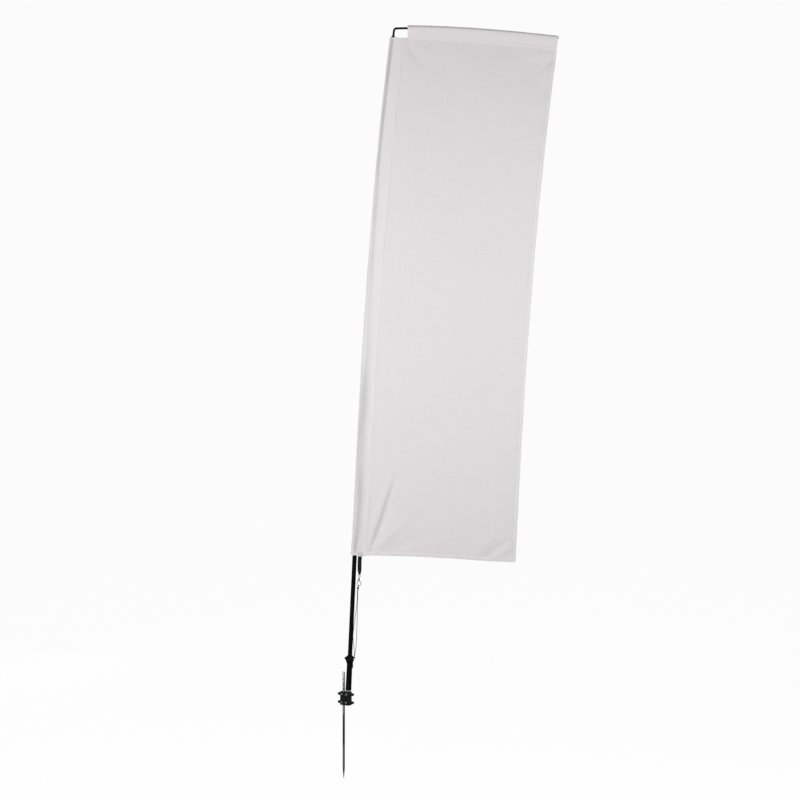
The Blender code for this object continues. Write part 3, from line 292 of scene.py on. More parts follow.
def set_camera():
    lens = bpy.data.cameras.new("studio_camera")
    lens.lens = CAMERA_LENS
    lens.clip_end = CAMERA_REACH
    camera = placed("studio_camera", lens)
    camera.location = CAMERA_PLACE
    camera.rotation_euler = (math.pi / 2, 0.0, 0.0)
    bpy.context.scene.camera = camera


def set_stage(paper):
    bpy.ops.object.select_all(action="DESELECT")
    bpy.ops.mesh.primitive_circle_add(
        vertices=96, radius=14.0, location=(0.3, 0.0, FLOOR_Z), fill_type="NGON")
    floor = bpy.context.object
    floor.name = "studio_floor"
    floor.data.materials.append(paper)


def area_light(name, place, aim, size, power):
    lamp = bpy.data.lights.new(name, "AREA")
    lamp.shape = "RECTANGLE"
    lamp.size, lamp.size_y = size
    lamp.energy = power
    light = placed(name, lamp)
    light.location = place
    light.rotation_euler = (Vector(aim) - Vector(place)).to_track_quat("-Z", "Y").to_euler()


def set_lights():
    for light in LIGHTS:
        area_light(*light)
    world = bpy.data.worlds.new("studio")
    bpy.context.scene.world = world
    world.use_nodes = True
    tree = world.node_tree
    tree.nodes.clear()
    seen = tree.nodes.new("ShaderNodeBackground")
    seen.inputs["Color"].default_value = (STUDIO_WHITE, STUDIO_WHITE, STUDIO_WHITE, 1.0)
    glow = tree.nodes.new("ShaderNodeBackground")
    glow.inputs["Color"].default_value = (0.985, 0.985, 1.0, 1.0)
    parts = split(tree, add(tree, "TexCoord").outputs["Generated"])
    backward = remap(tree, parts["Y"], -0.35, 0.45, 0.09, 0.60)
    tree.links.new(backward, glow.inputs["Strength"])
    path = tree.nodes.new("ShaderNodeLightPath")
    mix = tree.nodes.new("ShaderNodeMixShader")
    out = tree.nodes.new("ShaderNodeOutputWorld")
    tree.links.new(path.outputs["Is Camera Ray"], mix.inputs["Fac"])
    tree.links.new(glow.outputs["Background"], mix.inputs[1])
    tree.links.new(seen.outputs["Background"], mix.inputs[2])
    tree.links.new(mix.outputs["Shader"], out.inputs["Surface"])
    bpy.context.scene.view_settings.view_transform = "Standard"


# ---- Node tools ----------------------------------------------------------------------------------
def add(tree, kind, **settings):
    node = tree.nodes.new("ShaderNode" + kind)
    for name, value in settings.items():
        setattr(node, name, value)
    return node


def feed(tree, socket, value):
    """Puts a number, a colour or another node's output into a socket."""
    if isinstance(value, bpy.types.NodeSocket):
        tree.links.new(value, socket)
    else:
        socket.default_value = value


def calc(tree, operation, *values):
    node = add(tree, "Math", operation=operation)
    for socket, value in zip(node.inputs, values):
        feed(tree, socket, value)
    return node.outputs[0]


def remap(tree, value, low, high, to_low=0.0, to_high=1.0):
    node = add(tree, "MapRange", interpolation_type="SMOOTHSTEP")
    for socket, given in zip(node.inputs, (value, low, high, to_low, to_high)):
        feed(tree, socket, given)
    return node.outputs[0]


def noise_at(tree, place, scale, detail=3.0, stretch=None):
    if stretch is not None:
        mapping = add(tree, "Mapping")
        tree.links.new(place, mapping.inputs["Vector"])
        mapping.inputs["Scale"].default_value = stretch
        place = mapping.outputs["Vector"]
    node = add(tree, "TexNoise")
    tree.links.new(place, node.inputs["Vector"])
    feed(tree, node.inputs["Scale"], scale)
    node.inputs["Detail"].default_value = detail
    return node.outputs[0]


def blend_colours(tree, share, first, second):
    node = add(tree, "Mix", data_type="RGBA")
    feed(tree, node.inputs["Factor"], share)
    feed(tree, node.inputs[6], first)
    feed(tree, node.inputs[7], second)
    return node.outputs[2]


def split(tree, value):
    """The X, Y and Z of a vector, as the outputs of a node."""
    node = add(tree, "SeparateXYZ")
    tree.links.new(value, node.inputs[0])
    return node.outputs


def local_place(tree):
    return add(tree, "TexCoord").outputs["Object"]


def new_group(name, inputs, outputs):
    """An empty node group with its named inputs and outputs, and the two ends inside it."""
    group = bpy.data.node_groups.new(name, "ShaderNodeTree")
    for label, value in inputs:
        socket = group.interface.new_socket(label, in_out="INPUT", socket_type="NodeSocketFloat")
        socket.default_value = value
    for label in outputs:
        group.interface.new_socket(label, in_out="OUTPUT", socket_type="NodeSocketFloat")
    return group, group.nodes.new("NodeGroupInput"), group.nodes.new("NodeGroupOutput")


def make_edge_wear():
    """Where a hard edge is rubbed: wide round corners against the true surface, broken up by grain."""
    tree, given, out = new_group("edge_wear", [("Radius", 0.0006), ("Grain", 900.0)], ["Mask"])
    soft = add(tree, "Bevel", samples=4)
    tree.links.new(given.outputs["Radius"], soft.inputs["Radius"])
    true = add(tree, "NewGeometry")
    facing = add(tree, "VectorMath", operation="DOT_PRODUCT")
    tree.links.new(soft.outputs["Normal"], facing.inputs[0])
    tree.links.new(true.outputs["Normal"], facing.inputs[1])
    rubbed = remap(tree, facing.outputs["Value"], 0.995, 0.90)
    place = local_place(tree)
    broken = remap(tree, noise_at(tree, place, given.outputs["Grain"]), 0.35, 0.65)
    tree.links.new(calc(tree, "MULTIPLY", rubbed, broken), out.inputs["Mask"])
    return tree


def make_grain():
    """Fine grain and a wide mottle, both from 0 to 1, for cast, moulded, plated and painted faces."""
    tree, given, out = new_group("grain", [("Fine", 1500.0), ("Wide", 30.0), ("Along", 1.0)],
                                 ["Grain", "Mottle"])
    parts = split(tree, local_place(tree))
    drawn = add(tree, "CombineXYZ")
    for axis in ("X", "Y"):
        tree.links.new(parts[axis], drawn.inputs[axis])
    tree.links.new(calc(tree, "DIVIDE", parts["Z"], given.outputs["Along"]), drawn.inputs["Z"])
    tree.links.new(noise_at(tree, drawn.outputs[0], given.outputs["Fine"]), out.inputs["Grain"])
    tree.links.new(noise_at(tree, drawn.outputs[0], given.outputs["Wide"], 4.0), out.inputs["Mottle"])
    return tree


def make_dust():
    """Pale dust that has settled on faces that look up, thin and uneven."""
    tree, given, out = new_group("dust", [("Amount", 0.25)], ["Mask"])
    normal = split(tree, add(tree, "NewGeometry").outputs["Normal"])
    upward = remap(tree, normal["Z"], 0.2, 0.95)
    uneven = remap(tree, noise_at(tree, local_place(tree), 160.0, 5.0), 0.35, 0.75)
    settled = calc(tree, "MULTIPLY", calc(tree, "ADD", calc(tree, "MULTIPLY", upward, 0.8), 0.2), uneven)
    tree.links.new(calc(tree, "MULTIPLY", settled, given.outputs["Amount"]), out.inputs["Mask"])
    return tree


def make_weave():
    """A plain weave in the banner's plane: the height of its threads and how closely they cover."""
    tree, given, out = new_group("plain_weave", [("Thread", 0.0005)], ["Height", "Slub", "Crumple"])
    place = local_place(tree)
    parts = split(tree, place)
    waves = []
    for axis in ("X", "Z"):
        turns = calc(tree, "DIVIDE", parts[axis], given.outputs["Thread"])
        waves.append(calc(tree, "SINE", calc(tree, "MULTIPLY", turns, math.pi)))
    crossing = calc(tree, "MULTIPLY", *waves)
    tree.links.new(calc(tree, "MULTIPLY_ADD", crossing, 0.5, 0.5), out.inputs["Height"])
    warp = noise_at(tree, place, 1.0, 4.0, stretch=(900.0, 1.0, 14.0))
    weft = noise_at(tree, place, 1.0, 4.0, stretch=(14.0, 1.0, 900.0))
    tree.links.new(calc(tree, "MULTIPLY", calc(tree, "ADD", warp, weft), 0.5), out.inputs["Slub"])
    tree.links.new(noise_at(tree, place, 26.0, 5.0), out.inputs["Crumple"])
    return tree


def make_braid():
    """A braided or ribbed surface on a piece's own map: its first axis runs round, its second along."""
    tree, given, out = new_group("braid", [("Strands", 8.0), ("Pitch", 0.004)], ["Height"])
    parts = split(tree, add(tree, "UVMap", uv_map="lay").outputs["UV"])
    strands = calc(tree, "MULTIPLY", parts["X"], given.outputs["Strands"])
    pitches = calc(tree, "DIVIDE", parts["Y"], given.outputs["Pitch"])
    round_turn = calc(tree, "MULTIPLY", strands, math.pi)
    along = calc(tree, "MULTIPLY", pitches, 2 * math.pi)
    left = calc(tree, "SINE", calc(tree, "ADD", round_turn, along))
    right = calc(tree, "SINE", calc(tree, "SUBTRACT", round_turn, along))
    tree.links.new(calc(tree, "MULTIPLY_ADD", calc(tree, "MULTIPLY", left, right), 0.5, 0.5),
                   out.inputs["Height"])
    return tree


def make_webbing_rib():
    """Herringbone ribs of a narrow woven strap that lies in the banner's plane."""
    tree, given, out = new_group("webbing_rib", [("Rib", 0.0016)], ["Height"])
    parts = split(tree, local_place(tree))
    across = calc(tree, "PINGPONG", parts["X"], 0.0022)
    slope = calc(tree, "ADD", across, parts["Z"])
    turns = calc(tree, "DIVIDE", slope, given.outputs["Rib"])
    wave = calc(tree, "SINE", calc(tree, "MULTIPLY", turns, 2 * math.pi))
    tree.links.new(calc(tree, "MULTIPLY_ADD", wave, 0.5, 0.5), out.inputs["Height"])
    return tree


# ---- Materials -----------------------------------------------------------------------------------
def finish(name, **constants):
    """A material with its Principled shader's own sockets set, and a helper tree to build on."""
    made = bpy.data.materials.new(name)
    made.use_nodes = True
    tree = made.node_tree
    shader = tree.nodes["Principled BSDF"]
    for label, value in constants.items():
        shader.inputs[label.replace("_", " ").title()].default_value = value
    return made, tree, shader


def place_group(tree, group, **values):
    node = add(tree, "Group", node_tree=group)
    for label, value in values.items():
        node.inputs[label].default_value = value
    return node


def bump(tree, shader, height, depth):
    node = add(tree, "Bump")
    node.inputs["Distance"].default_value = depth
    node.inputs["Strength"].default_value = 1.0
    tree.links.new(height, node.inputs["Height"])
    tree.links.new(node.outputs["Normal"], shader.inputs["Normal"])


def hard_finish(name, groups, dark, light, worn, roughness, metallic=0.0, fine=1500.0, wide=30.0,
                along=1.0, depth=0.00004, wear=0.0006, dust=0.15, wear_share=0.6, gloss=0.5):
    """A plated, painted, cast or moulded face: mottled colour, grain, rubbed edges and a little dust."""
    made, tree, shader = finish(name, metallic=metallic)
    shader.inputs["Specular IOR Level"].default_value = gloss
    grain = place_group(tree, groups["grain"], Fine=fine, Wide=wide, Along=along)
    edges = place_group(tree, groups["edge_wear"], Radius=wear)
    settled = place_group(tree, groups["dust"], Amount=dust)
    body = blend_colours(tree, remap(tree, grain.outputs["Mottle"], 0.3, 0.7), (*dark, 1.0), (*light, 1.0))
    rubbed = calc(tree, "MULTIPLY", edges.outputs["Mask"], wear_share)
    body = blend_colours(tree, rubbed, body, (*worn, 1.0))
    body = blend_colours(tree, settled.outputs["Mask"], body, (0.42, 0.40, 0.37, 1.0))
    tree.links.new(body, shader.inputs["Base Color"])
    rough = remap(tree, grain.outputs["Mottle"], 0.25, 0.75, roughness[0], roughness[1])
    rough = calc(tree, "ADD", rough, calc(tree, "MULTIPLY", settled.outputs["Mask"], 0.35))
    tree.links.new(rough, shader.inputs["Roughness"])
    bump(tree, shader, grain.outputs["Grain"], depth)
    return made


def spike_finish(groups):
    """Drawn steel, bright at its ends and stained brown where it stands in the ground, with painted shade
    down its left side above the clamp.
    """
    made, tree, shader = finish("polished_steel", metallic=1.0)
    grain = place_group(tree, groups["grain"], Fine=2600.0, Wide=40.0, Along=60.0)
    parts = split(tree, local_place(tree))
    ragged = calc(tree, "MULTIPLY_ADD", grain.outputs["Mottle"], 0.03, parts["Z"])
    stain = calc(tree, "MULTIPLY", remap(tree, ragged, -0.165, -0.135), remap(tree, ragged, -0.006, -0.030))
    # painted shade: the spike's left side is darkened above the clamp
    shade = remap(tree, parts["X"], 0.0010, -0.0022)
    painted_side_shade = calc(tree, "MULTIPLY", remap(tree, parts["Z"], 0.055, 0.075), shade)
    bright = blend_colours(tree, grain.outputs["Grain"], (0.25, 0.25, 0.255, 1.0), (0.33, 0.33, 0.33, 1.0))
    body = blend_colours(tree, calc(tree, "MULTIPLY", stain, 0.95), bright, (0.040, 0.024, 0.020, 1.0))
    tip = remap(tree, ragged, -0.240, -0.262)
    body = blend_colours(tree, calc(tree, "MULTIPLY", tip, 0.75), body, (0.060, 0.055, 0.052, 1.0))
    body = blend_colours(tree, calc(tree, "MULTIPLY", painted_side_shade, 0.75), body, (0.10, 0.10, 0.105, 1.0))
    tree.links.new(body, shader.inputs["Base Color"])
    rough = remap(tree, grain.outputs["Grain"], 0.2, 0.8, 0.16, 0.27)
    tree.links.new(calc(tree, "MULTIPLY_ADD", stain, 0.16, rough), shader.inputs["Roughness"])
    bump(tree, shader, grain.outputs["Grain"], 0.00001)
    return made


def cloth_finish(name, groups, colour, cover, with_painted_shade=False):
    """Thin woven polyester that lets what is behind it show through a little, darkened where asked by the
    painted shade stored on its mesh.
    """
    made, tree, shader = finish(name, roughness=0.82)
    shader.inputs["Sheen Weight"].default_value = 0.25
    shader.inputs["Sheen Roughness"].default_value = 0.45
    shader.inputs["Specular IOR Level"].default_value = 0.25
    weave = place_group(tree, groups["plain_weave"])
    dark = tuple(c * 0.955 for c in colour)
    body = blend_colours(tree, remap(tree, weave.outputs["Slub"], 0.3, 0.7), (*dark, 1.0), (*colour, 1.0))
    if with_painted_shade:
        # painted shade: the mesh's stored shade darkens the cloth towards a tenth of its colour
        shade = add(tree, "Attribute", attribute_name="painted_shade")
        uneven = remap(tree, weave.outputs["Crumple"], 0.2, 0.8, 0.85, 1.0)
        body = blend_colours(tree, calc(tree, "MULTIPLY", shade.outputs["Fac"], uneven), body,
                             tuple(c * 0.10 for c in colour) + (1.0,))
    tree.links.new(body, shader.inputs["Base Color"])
    closed = remap(tree, weave.outputs["Slub"], 0.25, 0.75, cover - 0.02, cover + 0.02)
    tree.links.new(closed, shader.inputs["Alpha"])
    height = calc(tree, "MULTIPLY_ADD", weave.outputs["Crumple"], 9.0, weave.outputs["Height"])
    bump(tree, shader, height, 0.00008)
    return made


def webbing_finish(groups):
    made, tree, shader = finish("black_webbing", roughness=0.78)
    shader.inputs["Sheen Weight"].default_value = 0.06
    shader.inputs["Specular IOR Level"].default_value = 0.12
    rib = place_group(tree, groups["webbing_rib"])
    grain = place_group(tree, groups["grain"], Fine=2400.0, Wide=90.0)
    low, high = (0.003, 0.003, 0.0035, 1.0), (0.012, 0.012, 0.013, 1.0)
    body = blend_colours(tree, rib.outputs["Height"], low, high)
    fuzz = calc(tree, "MULTIPLY", remap(tree, grain.outputs["Grain"], 0.5, 0.9), 0.4)
    tree.links.new(blend_colours(tree, fuzz, body, (0.03, 0.03, 0.03, 1.0)), shader.inputs["Base Color"])
    bump(tree, shader, calc(tree, "ADD", rib.outputs["Height"],
                            calc(tree, "MULTIPLY", grain.outputs["Grain"], 0.4)), 0.00035)
    return made


def braid_finish(name, groups, dark, light, strands, pitch):
    made, tree, shader = finish(name, roughness=0.72)
    shader.inputs["Specular IOR Level"].default_value = 0.06
    lay = place_group(tree, groups["braid"], Strands=strands, Pitch=pitch)
    grain = place_group(tree, groups["grain"], Fine=3000.0, Wide=120.0)
    body = blend_colours(tree, lay.outputs["Height"], (*dark, 1.0), (*light, 1.0))
    fuzz = calc(tree, "MULTIPLY", remap(tree, grain.outputs["Mottle"], 0.45, 0.8), 0.35)
    body = blend_colours(tree, fuzz, body, (*[c * 2.2 for c in light], 1.0))
    tree.links.new(body, shader.inputs["Base Color"])
    bump(tree, shader, lay.outputs["Height"], 0.00025)
    return made


def make_finishes():
    groups = {"edge_wear": make_edge_wear(), "grain": make_grain(), "dust": make_dust(),
              "plain_weave": make_weave(), "braid": make_braid(), "webbing_rib": make_webbing_rib()}
    steel = (0.55, 0.55, 0.54)
    found = {
        "polished_steel": spike_finish(groups),
        "zinc_plate": hard_finish("zinc_plate", groups, (0.17, 0.175, 0.18), (0.28, 0.285, 0.29),
                                  (0.50, 0.50, 0.49), (0.30, 0.48), 1.0, 1800.0, 220.0, dust=0.2),
        "cast_black": hard_finish("cast_black", groups, (0.004, 0.005, 0.0055), (0.011, 0.0125, 0.013),
                                  (0.085, 0.085, 0.085), (0.40, 0.60), 0.0, 1400.0, 120.0, gloss=0.16,
                                  depth=0.00012, dust=0.03, wear=0.0008, wear_share=0.4),
        "black_steel": hard_finish("black_steel", groups, (0.010, 0.010, 0.011), (0.020, 0.020, 0.022),
                                   (0.16, 0.16, 0.16), (0.34, 0.5), 0.4, 2200.0, 260.0, wear=0.0004,
                                   wear_share=0.4, dust=0.05, gloss=0.3),
        "spring_steel": hard_finish("spring_steel", groups, (0.22, 0.22, 0.23), (0.32, 0.32, 0.33),
                                    steel, (0.24, 0.4), 1.0, 2600.0, 300.0, dust=0.05),
        "nylon": hard_finish("nylon", groups, (0.66, 0.66, 0.63), (0.76, 0.76, 0.74), (0.8, 0.8, 0.78),
                             (0.42, 0.56), 0.0, 2000.0, 140.0, dust=0.1),
        "black_plastic": hard_finish("black_plastic", groups, (0.0014, 0.0014, 0.0016),
                                     (0.0034, 0.0034, 0.0037), (0.025, 0.025, 0.025), (0.34, 0.5), 0.0,
                                     2600.0, 70.0, depth=0.00003, dust=0.006, wear_share=0.2, gloss=0.06),
        "pole_black": hard_finish("pole_black", groups, (0.0012, 0.0012, 0.0014), (0.0030, 0.0030, 0.0033),
                                  (0.022, 0.022, 0.022), (0.26, 0.40), 0.0, 1800.0, 22.0, along=24.0,
                                  depth=0.00003, dust=0.004, wear_share=0.2, gloss=0.05),
        "rubber": hard_finish("rubber", groups, (0.006, 0.006, 0.006), (0.012, 0.012, 0.012),
                              (0.03, 0.03, 0.03), (0.70, 0.88), 0.0, 1600.0, 160.0, depth=0.00008,
                              dust=0.05, gloss=0.2),
        "nickel": hard_finish("nickel", groups, (0.13, 0.128, 0.122), (0.22, 0.216, 0.208),
                              (0.46, 0.45, 0.43), (0.14, 0.26), 1.0, 3200.0, 340.0, depth=0.00001,
                              dust=0.04),
        "white_polyester": cloth_finish("white_polyester", groups, (0.735, 0.700, 0.708), 0.86),
        "tube_polyester": cloth_finish("tube_polyester", groups, (0.745, 0.710, 0.718), 0.95, with_painted_shade=True),
        "hem_polyester": cloth_finish("hem_polyester", groups, (0.760, 0.727, 0.735), 0.90),
        "black_webbing": webbing_finish(groups),
        "cord_black": braid_finish("cord_black", groups, (0.002, 0.002, 0.0024), (0.010, 0.010, 0.011),
                                   8.0, 0.0046),
        "whipping_black": braid_finish("whipping_black", groups, (0.002, 0.002, 0.0024),
                                       (0.012, 0.012, 0.013), 2.0, 0.0012),
        "white_thread": braid_finish("white_thread", groups, (0.70, 0.68, 0.68), (0.82, 0.80, 0.80),
                                     4.0, 0.0008),
        "black_thread": braid_finish("black_thread", groups, (0.016, 0.016, 0.017), (0.050, 0.050, 0.052),
                                     4.0, 0.0008),
    }
    paper, tree, shader = finish("studio_paper", roughness=0.9)
    shader.inputs["Base Color"].default_value = (0.05, 0.05, 0.05, 1.0)
    shader.inputs["Specular IOR Level"].default_value = 0.0
    shader.inputs["Emission Strength"].default_value = 0.95
    tint = blend_colours(tree, add(tree, "LightPath").outputs["Is Camera Ray"], (0.25, 0.25, 0.25, 1.0),
                         (1.0, 1.0, 1.0, 1.0))
    tree.links.new(tint, shader.inputs["Emission Color"])
    found["studio_paper"] = paper
    return found


# ---- Modelling tools -----------------------------------------------------------------------------
def edit():
    bpy.ops.object.mode_set(mode="EDIT")
    bpy.ops.mesh.select_all(action="SELECT")


def leave_edit():
    bpy.ops.object.mode_set(mode="OBJECT")


def only(obj):
    bpy.ops.object.select_all(action="DESELECT")
    obj.select_set(True)
    bpy.context.view_layer.objects.active = obj


def apply_modifier(obj, kind, **settings):
    step = obj.modifiers.new(kind.lower(), kind)
    for name, value in settings.items():
        setattr(step, name, value)
    only(obj)
    bpy.ops.object.modifier_apply(modifier=step.name)


def dressed(obj, name, material, body, replaced=(), bevel=0.0, angle=35, place=None):
    """The last steps for a piece: its place, its soft edges, its finish and what it rides on."""
    obj.name = name
    obj.data.name = name
    only(obj)
    bpy.ops.object.transform_apply(location=True, rotation=True, scale=True)
    if place is not None:
        obj.data.transform(place)
    if bevel:
        apply_modifier(obj, "BEVEL", width=bevel, segments=2, limit_method="ANGLE",
                       angle_limit=math.radians(30))
    only(obj)
    bpy.ops.object.shade_smooth_by_angle(angle=math.radians(angle))
    obj.data.materials.clear()
    obj.data.materials.append(FINISHES[material])
    if body is not None:
        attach(obj, body)
    if replaced:
        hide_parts(*replaced)
    return obj


def turned(profile, ring=False, facets=48):
    """Spins a profile of (radius, height) points about Z, drawn out from a single point."""
    bpy.ops.object.select_all(action="DESELECT")
    bpy.ops.mesh.primitive_plane_add(size=0.001)
    obj = bpy.context.object
    edit()
    bpy.ops.mesh.merge(type="CENTER")
    points = [*profile, profile[0]] if ring else list(profile)
    bpy.ops.transform.translate(value=(points[0][0], 0.0, points[0][1]))
    for (r0, z0), (r1, z1) in zip(points, points[1:]):
        bpy.ops.mesh.extrude_region_move(TRANSFORM_OT_translate={"value": (r1 - r0, 0.0, z1 - z0)})
    bpy.ops.mesh.select_all(action="SELECT")
    bpy.ops.mesh.spin(steps=facets, angle=2 * math.pi, center=(0, 0, 0), axis=(0, 0, 1))
    bpy.ops.mesh.select_all(action="SELECT")
    bpy.ops.mesh.remove_doubles(threshold=1e-6)
    faced_out()
    return obj


def bar(points, radii, wall=0.0, rounds=10):
    """A round bar along the points, or a tube with open ends where a wall is given."""
    bpy.ops.object.select_all(action="DESELECT")
    bpy.ops.curve.primitive_nurbs_path_add()
    obj = bpy.context.object
    curve = obj.data
    curve.splines.clear()
    curve.bevel_depth = 1.0
    curve.bevel_resolution = rounds
    curve.use_fill_caps = not wall
    spline = curve.splines.new("POLY")
    spline.points.add(len(points) - 1)
    for point, place, radius in zip(spline.points, points, radii):
        point.co = (*place, 1.0)
        point.radius = radius
    only(obj)
    bpy.ops.object.convert(target="MESH")
    edit()
    bpy.ops.mesh.remove_doubles(threshold=1e-6)
    faced_out()
    if wall:
        apply_modifier(obj, "SOLIDIFY", thickness=wall, offset=-1.0, use_even_offset=True)
    return obj


def block(size, place, bevel=0.0):
    bpy.ops.object.select_all(action="DESELECT")
    bpy.ops.mesh.primitive_cube_add(size=1.0, location=place, scale=size)
    obj = bpy.context.object
    bpy.ops.object.transform_apply(location=True, rotation=True, scale=True)
    if bevel:
        edit()
        bpy.ops.mesh.bevel(offset=bevel, segments=3)
        leave_edit()
    return obj


def cylinder(radius, depth, place, facets, turn=(0.0, 0.0, 0.0)):
    bpy.ops.object.select_all(action="DESELECT")
    bpy.ops.mesh.primitive_cylinder_add(
        vertices=facets, radius=radius, depth=depth, location=place, rotation=turn)
    return bpy.context.object


def combined(operation, first, others):
    for other in others:
        apply_modifier(first, "BOOLEAN", operation=operation, solver="EXACT", object=other)
        bpy.data.objects.remove(other, do_unlink=True)
    return first


def united(first, *others):
    """Joins closed shapes that overlap into one closed body."""
    return combined("UNION", first, others)


def cut(first, *others):
    return combined("DIFFERENCE", first, others)


def joined(*objs):
    """Puts closed shapes in one object and leaves each of them whole."""
    bpy.ops.object.select_all(action="DESELECT")
    for obj in objs:
        obj.select_set(True)
    bpy.context.view_layer.objects.active = objs[0]
    bpy.ops.object.join()
    return objs[0]


def faced_out():
    """In edit mode: every face made to look outwards, and edit mode left."""
    bpy.ops.mesh.select_all(action="SELECT")
    bpy.ops.mesh.normals_make_consistent(inside=False)
    leave_edit()


def copy_of(obj):
    twin = obj.copy()
    twin.data = obj.data.copy()
    bpy.context.scene.collection.objects.link(twin)
    return twin


def frame_copy(node):
    """A merged copy of a CAD node, free of the frame, ready to be softened and detailed."""
    source = NODES[node]
    twin = placed(node + "_shape", source.data.copy())
    only(twin)
    edit()
    bpy.ops.mesh.remove_doubles(threshold=2e-6)
    bpy.ops.mesh.dissolve_limited(angle_limit=math.radians(1.0))
    leave_edit()
    return twin


def add_skin(bm, grid, closed, heights):
    """Faces through rows of vertices, mapped once round each row and by the heights given."""
    uv = bm.loops.layers.uv.new("lay")
    count = len(grid[0])
    for i in range(len(grid) - 1):
        for j in range(count if closed else count - 1):
            k = (j + 1) % count
            face = bm.faces.new((grid[i][j], grid[i][k], grid[i + 1][k], grid[i + 1][j]))
            for loop, (a, b) in zip(face.loops, ((i, j), (i, j + 1), (i + 1, j + 1), (i + 1, j))):
                loop[uv].uv = (b / count, heights[a])


def mesh_from(bm, name):
    mesh = bpy.data.meshes.new(name)
    bm.to_mesh(mesh)
    bm.free()
    return mesh


def sheet_mesh(name, rows, closed=False, wall=CLOTH, painted_shade=None):
    """A sheet through rows of points, given the cloth's thickness. The shade rows say how much painted shade
    each point takes where the sheet lies on a tube.
    """
    bm = bmesh.new()
    grid = [[bm.verts.new(p) for p in row] for row in rows]
    add_skin(bm, grid, closed, [i * 0.01 for i in range(len(grid))])
    mesh = mesh_from(bm, name)
    if painted_shade is not None:
        shade = mesh.attributes.new("painted_shade", "FLOAT", "POINT")
        shade.data.foreach_set("value", [share for row in painted_shade for share in row])
    obj = placed(name, mesh)
    area = sum(face.area for face in mesh.polygons)
    apply_modifier(obj, "SOLIDIFY", thickness=wall, offset=0.0)
    return obj, area


def cord_mesh(name, points, radius, sides):
    """A cord's closed tube, with a map that runs once round it and in metres along it."""
    bm = bmesh.new()
    rings, lengths = [], [0.0]
    aside = None
    for index, place in enumerate(points):
        before, after = points[max(index - 1, 0)], points[min(index + 1, len(points) - 1)]
        ahead = (after - before).normalized()
        if aside is None:
            aside = ahead.orthogonal().normalized()
        aside = (aside - ahead * aside.dot(ahead)).normalized()
        up = ahead.cross(aside)
        rings.append([
            bm.verts.new(place + radius * (math.cos(a) * aside + math.sin(a) * up))
            for a in (2 * math.pi * k / sides for k in range(sides))
        ])
        if index:
            lengths.append(lengths[-1] + (place - points[index - 1]).length)
    add_skin(bm, rings, True, lengths)
    for ring in (rings[0][::-1], rings[-1]):
        bm.faces.new(ring)
    bmesh.ops.recalc_face_normals(bm, faces=bm.faces)
    return placed(name, mesh_from(bm, name))


def finer(points, step):
    """The same route with points at even short steps."""
    found = [points[0]]
    for a, b in zip(points, points[1:]):
        count = max(1, math.ceil((b - a).length / step))
        found += [a.lerp(b, (i + 1) / count) for i in range(count)]
    return found


# ---- Ground spike and clamp ----------------------------------------------------------------------
def make_spike():
    r, low = SPIKE_D / 2, -SPIKE_DEPTH
    spike = turned([
        (0.0, low), (0.0006, low + 0.0004), (0.0011, low + 0.0018), (r - 0.0002, low + SPIKE_POINT - 0.002),
        (r, low + SPIKE_POINT + 0.001), (r, SPIKE_TOP - 0.0009), (r - 0.0004, SPIKE_TOP - 0.0003),
        (r - 0.0011, SPIKE_TOP), (0.0, SPIKE_TOP + 0.0001),
    ], facets=64)
    dressed(spike, "ground_spike", "polished_steel", "spike", ["spike_rod"])


CLAMP_TURN = Matrix.Rotation(-CLAMP_YAW, 4, "Z")
ALONG_Y = Matrix.Rotation(math.pi / 2, 4, "X")


def ear_centres():
    middle = BORE_SPACING / 2
    reach = CLAMP_LENGTH / 2 + EAR_REACH * 0.46
    return [(middle + side * reach, CLAMP_MIDDLE + rise * BAND_RISE) for side in (-1, 1) for rise in (-1, 1)]


def screw_centres():
    found = []
    for rise in (-1, 1):
        height = CLAMP_MIDDLE + rise * BAND_RISE
        found.append((0.0, height))
        found.append((BORE_SPACING + rise * BAND_RISE * math.tan(LEAN) * math.cos(CLAMP_YAW), height))
    return found


def make_clamp_shells():
    """The cast shells: the frame's shape with soft cast edges, bosses round its screws and a rib."""
    for name, side in (("clamp_front_shell", -1), ("clamp_back_shell", 1)):
        shell = frame_copy(name)
        face = side * CLAMP_DEPTH / 2
        if side < 0:
            bosses = []
            for x, z in screw_centres():
                ring = turned([(SCREW_D / 2 + 0.0004, 0.0), (SCREW_HEAD_D / 2 + 0.0013, 0.0),
                               (SCREW_HEAD_D / 2 + 0.0009, 0.0012), (SCREW_HEAD_D / 2 + 0.0003, 0.0012),
                               (SCREW_HEAD_D / 2 + 0.0003, 0.0003), (SCREW_D / 2 + 0.0004, 0.0002)],
                              ring=True, facets=32)
                ring.data.transform(CLAMP_TURN @ Matrix.Translation((x, face, z)) @ ALONG_Y)
                bosses.append(ring)
            shell = joined(shell, *bosses)
        else:
            size, middle = (CLAMP_LENGTH - 0.012, 0.0024, 0.0022), BORE_SPACING / 2
            for z in (CLAMP_MIDDLE - BAND_RISE, CLAMP_MIDDLE + BAND_RISE):
                rib = block(size, (middle, face + 0.0004, z), 0.0007)
                rib.data.transform(CLAMP_TURN)
                shell = joined(shell, rib)
        dressed(shell, name + "_cast", "cast_black", "clamp", [name], bevel=0.0005, angle=40)


def hex_recess(obj, top, radius, depth):
    """A hexagonal key recess sunk in a head whose top is at that height."""
    return cut(obj, cylinder(radius, 2 * depth, (0, 0, top), 6))


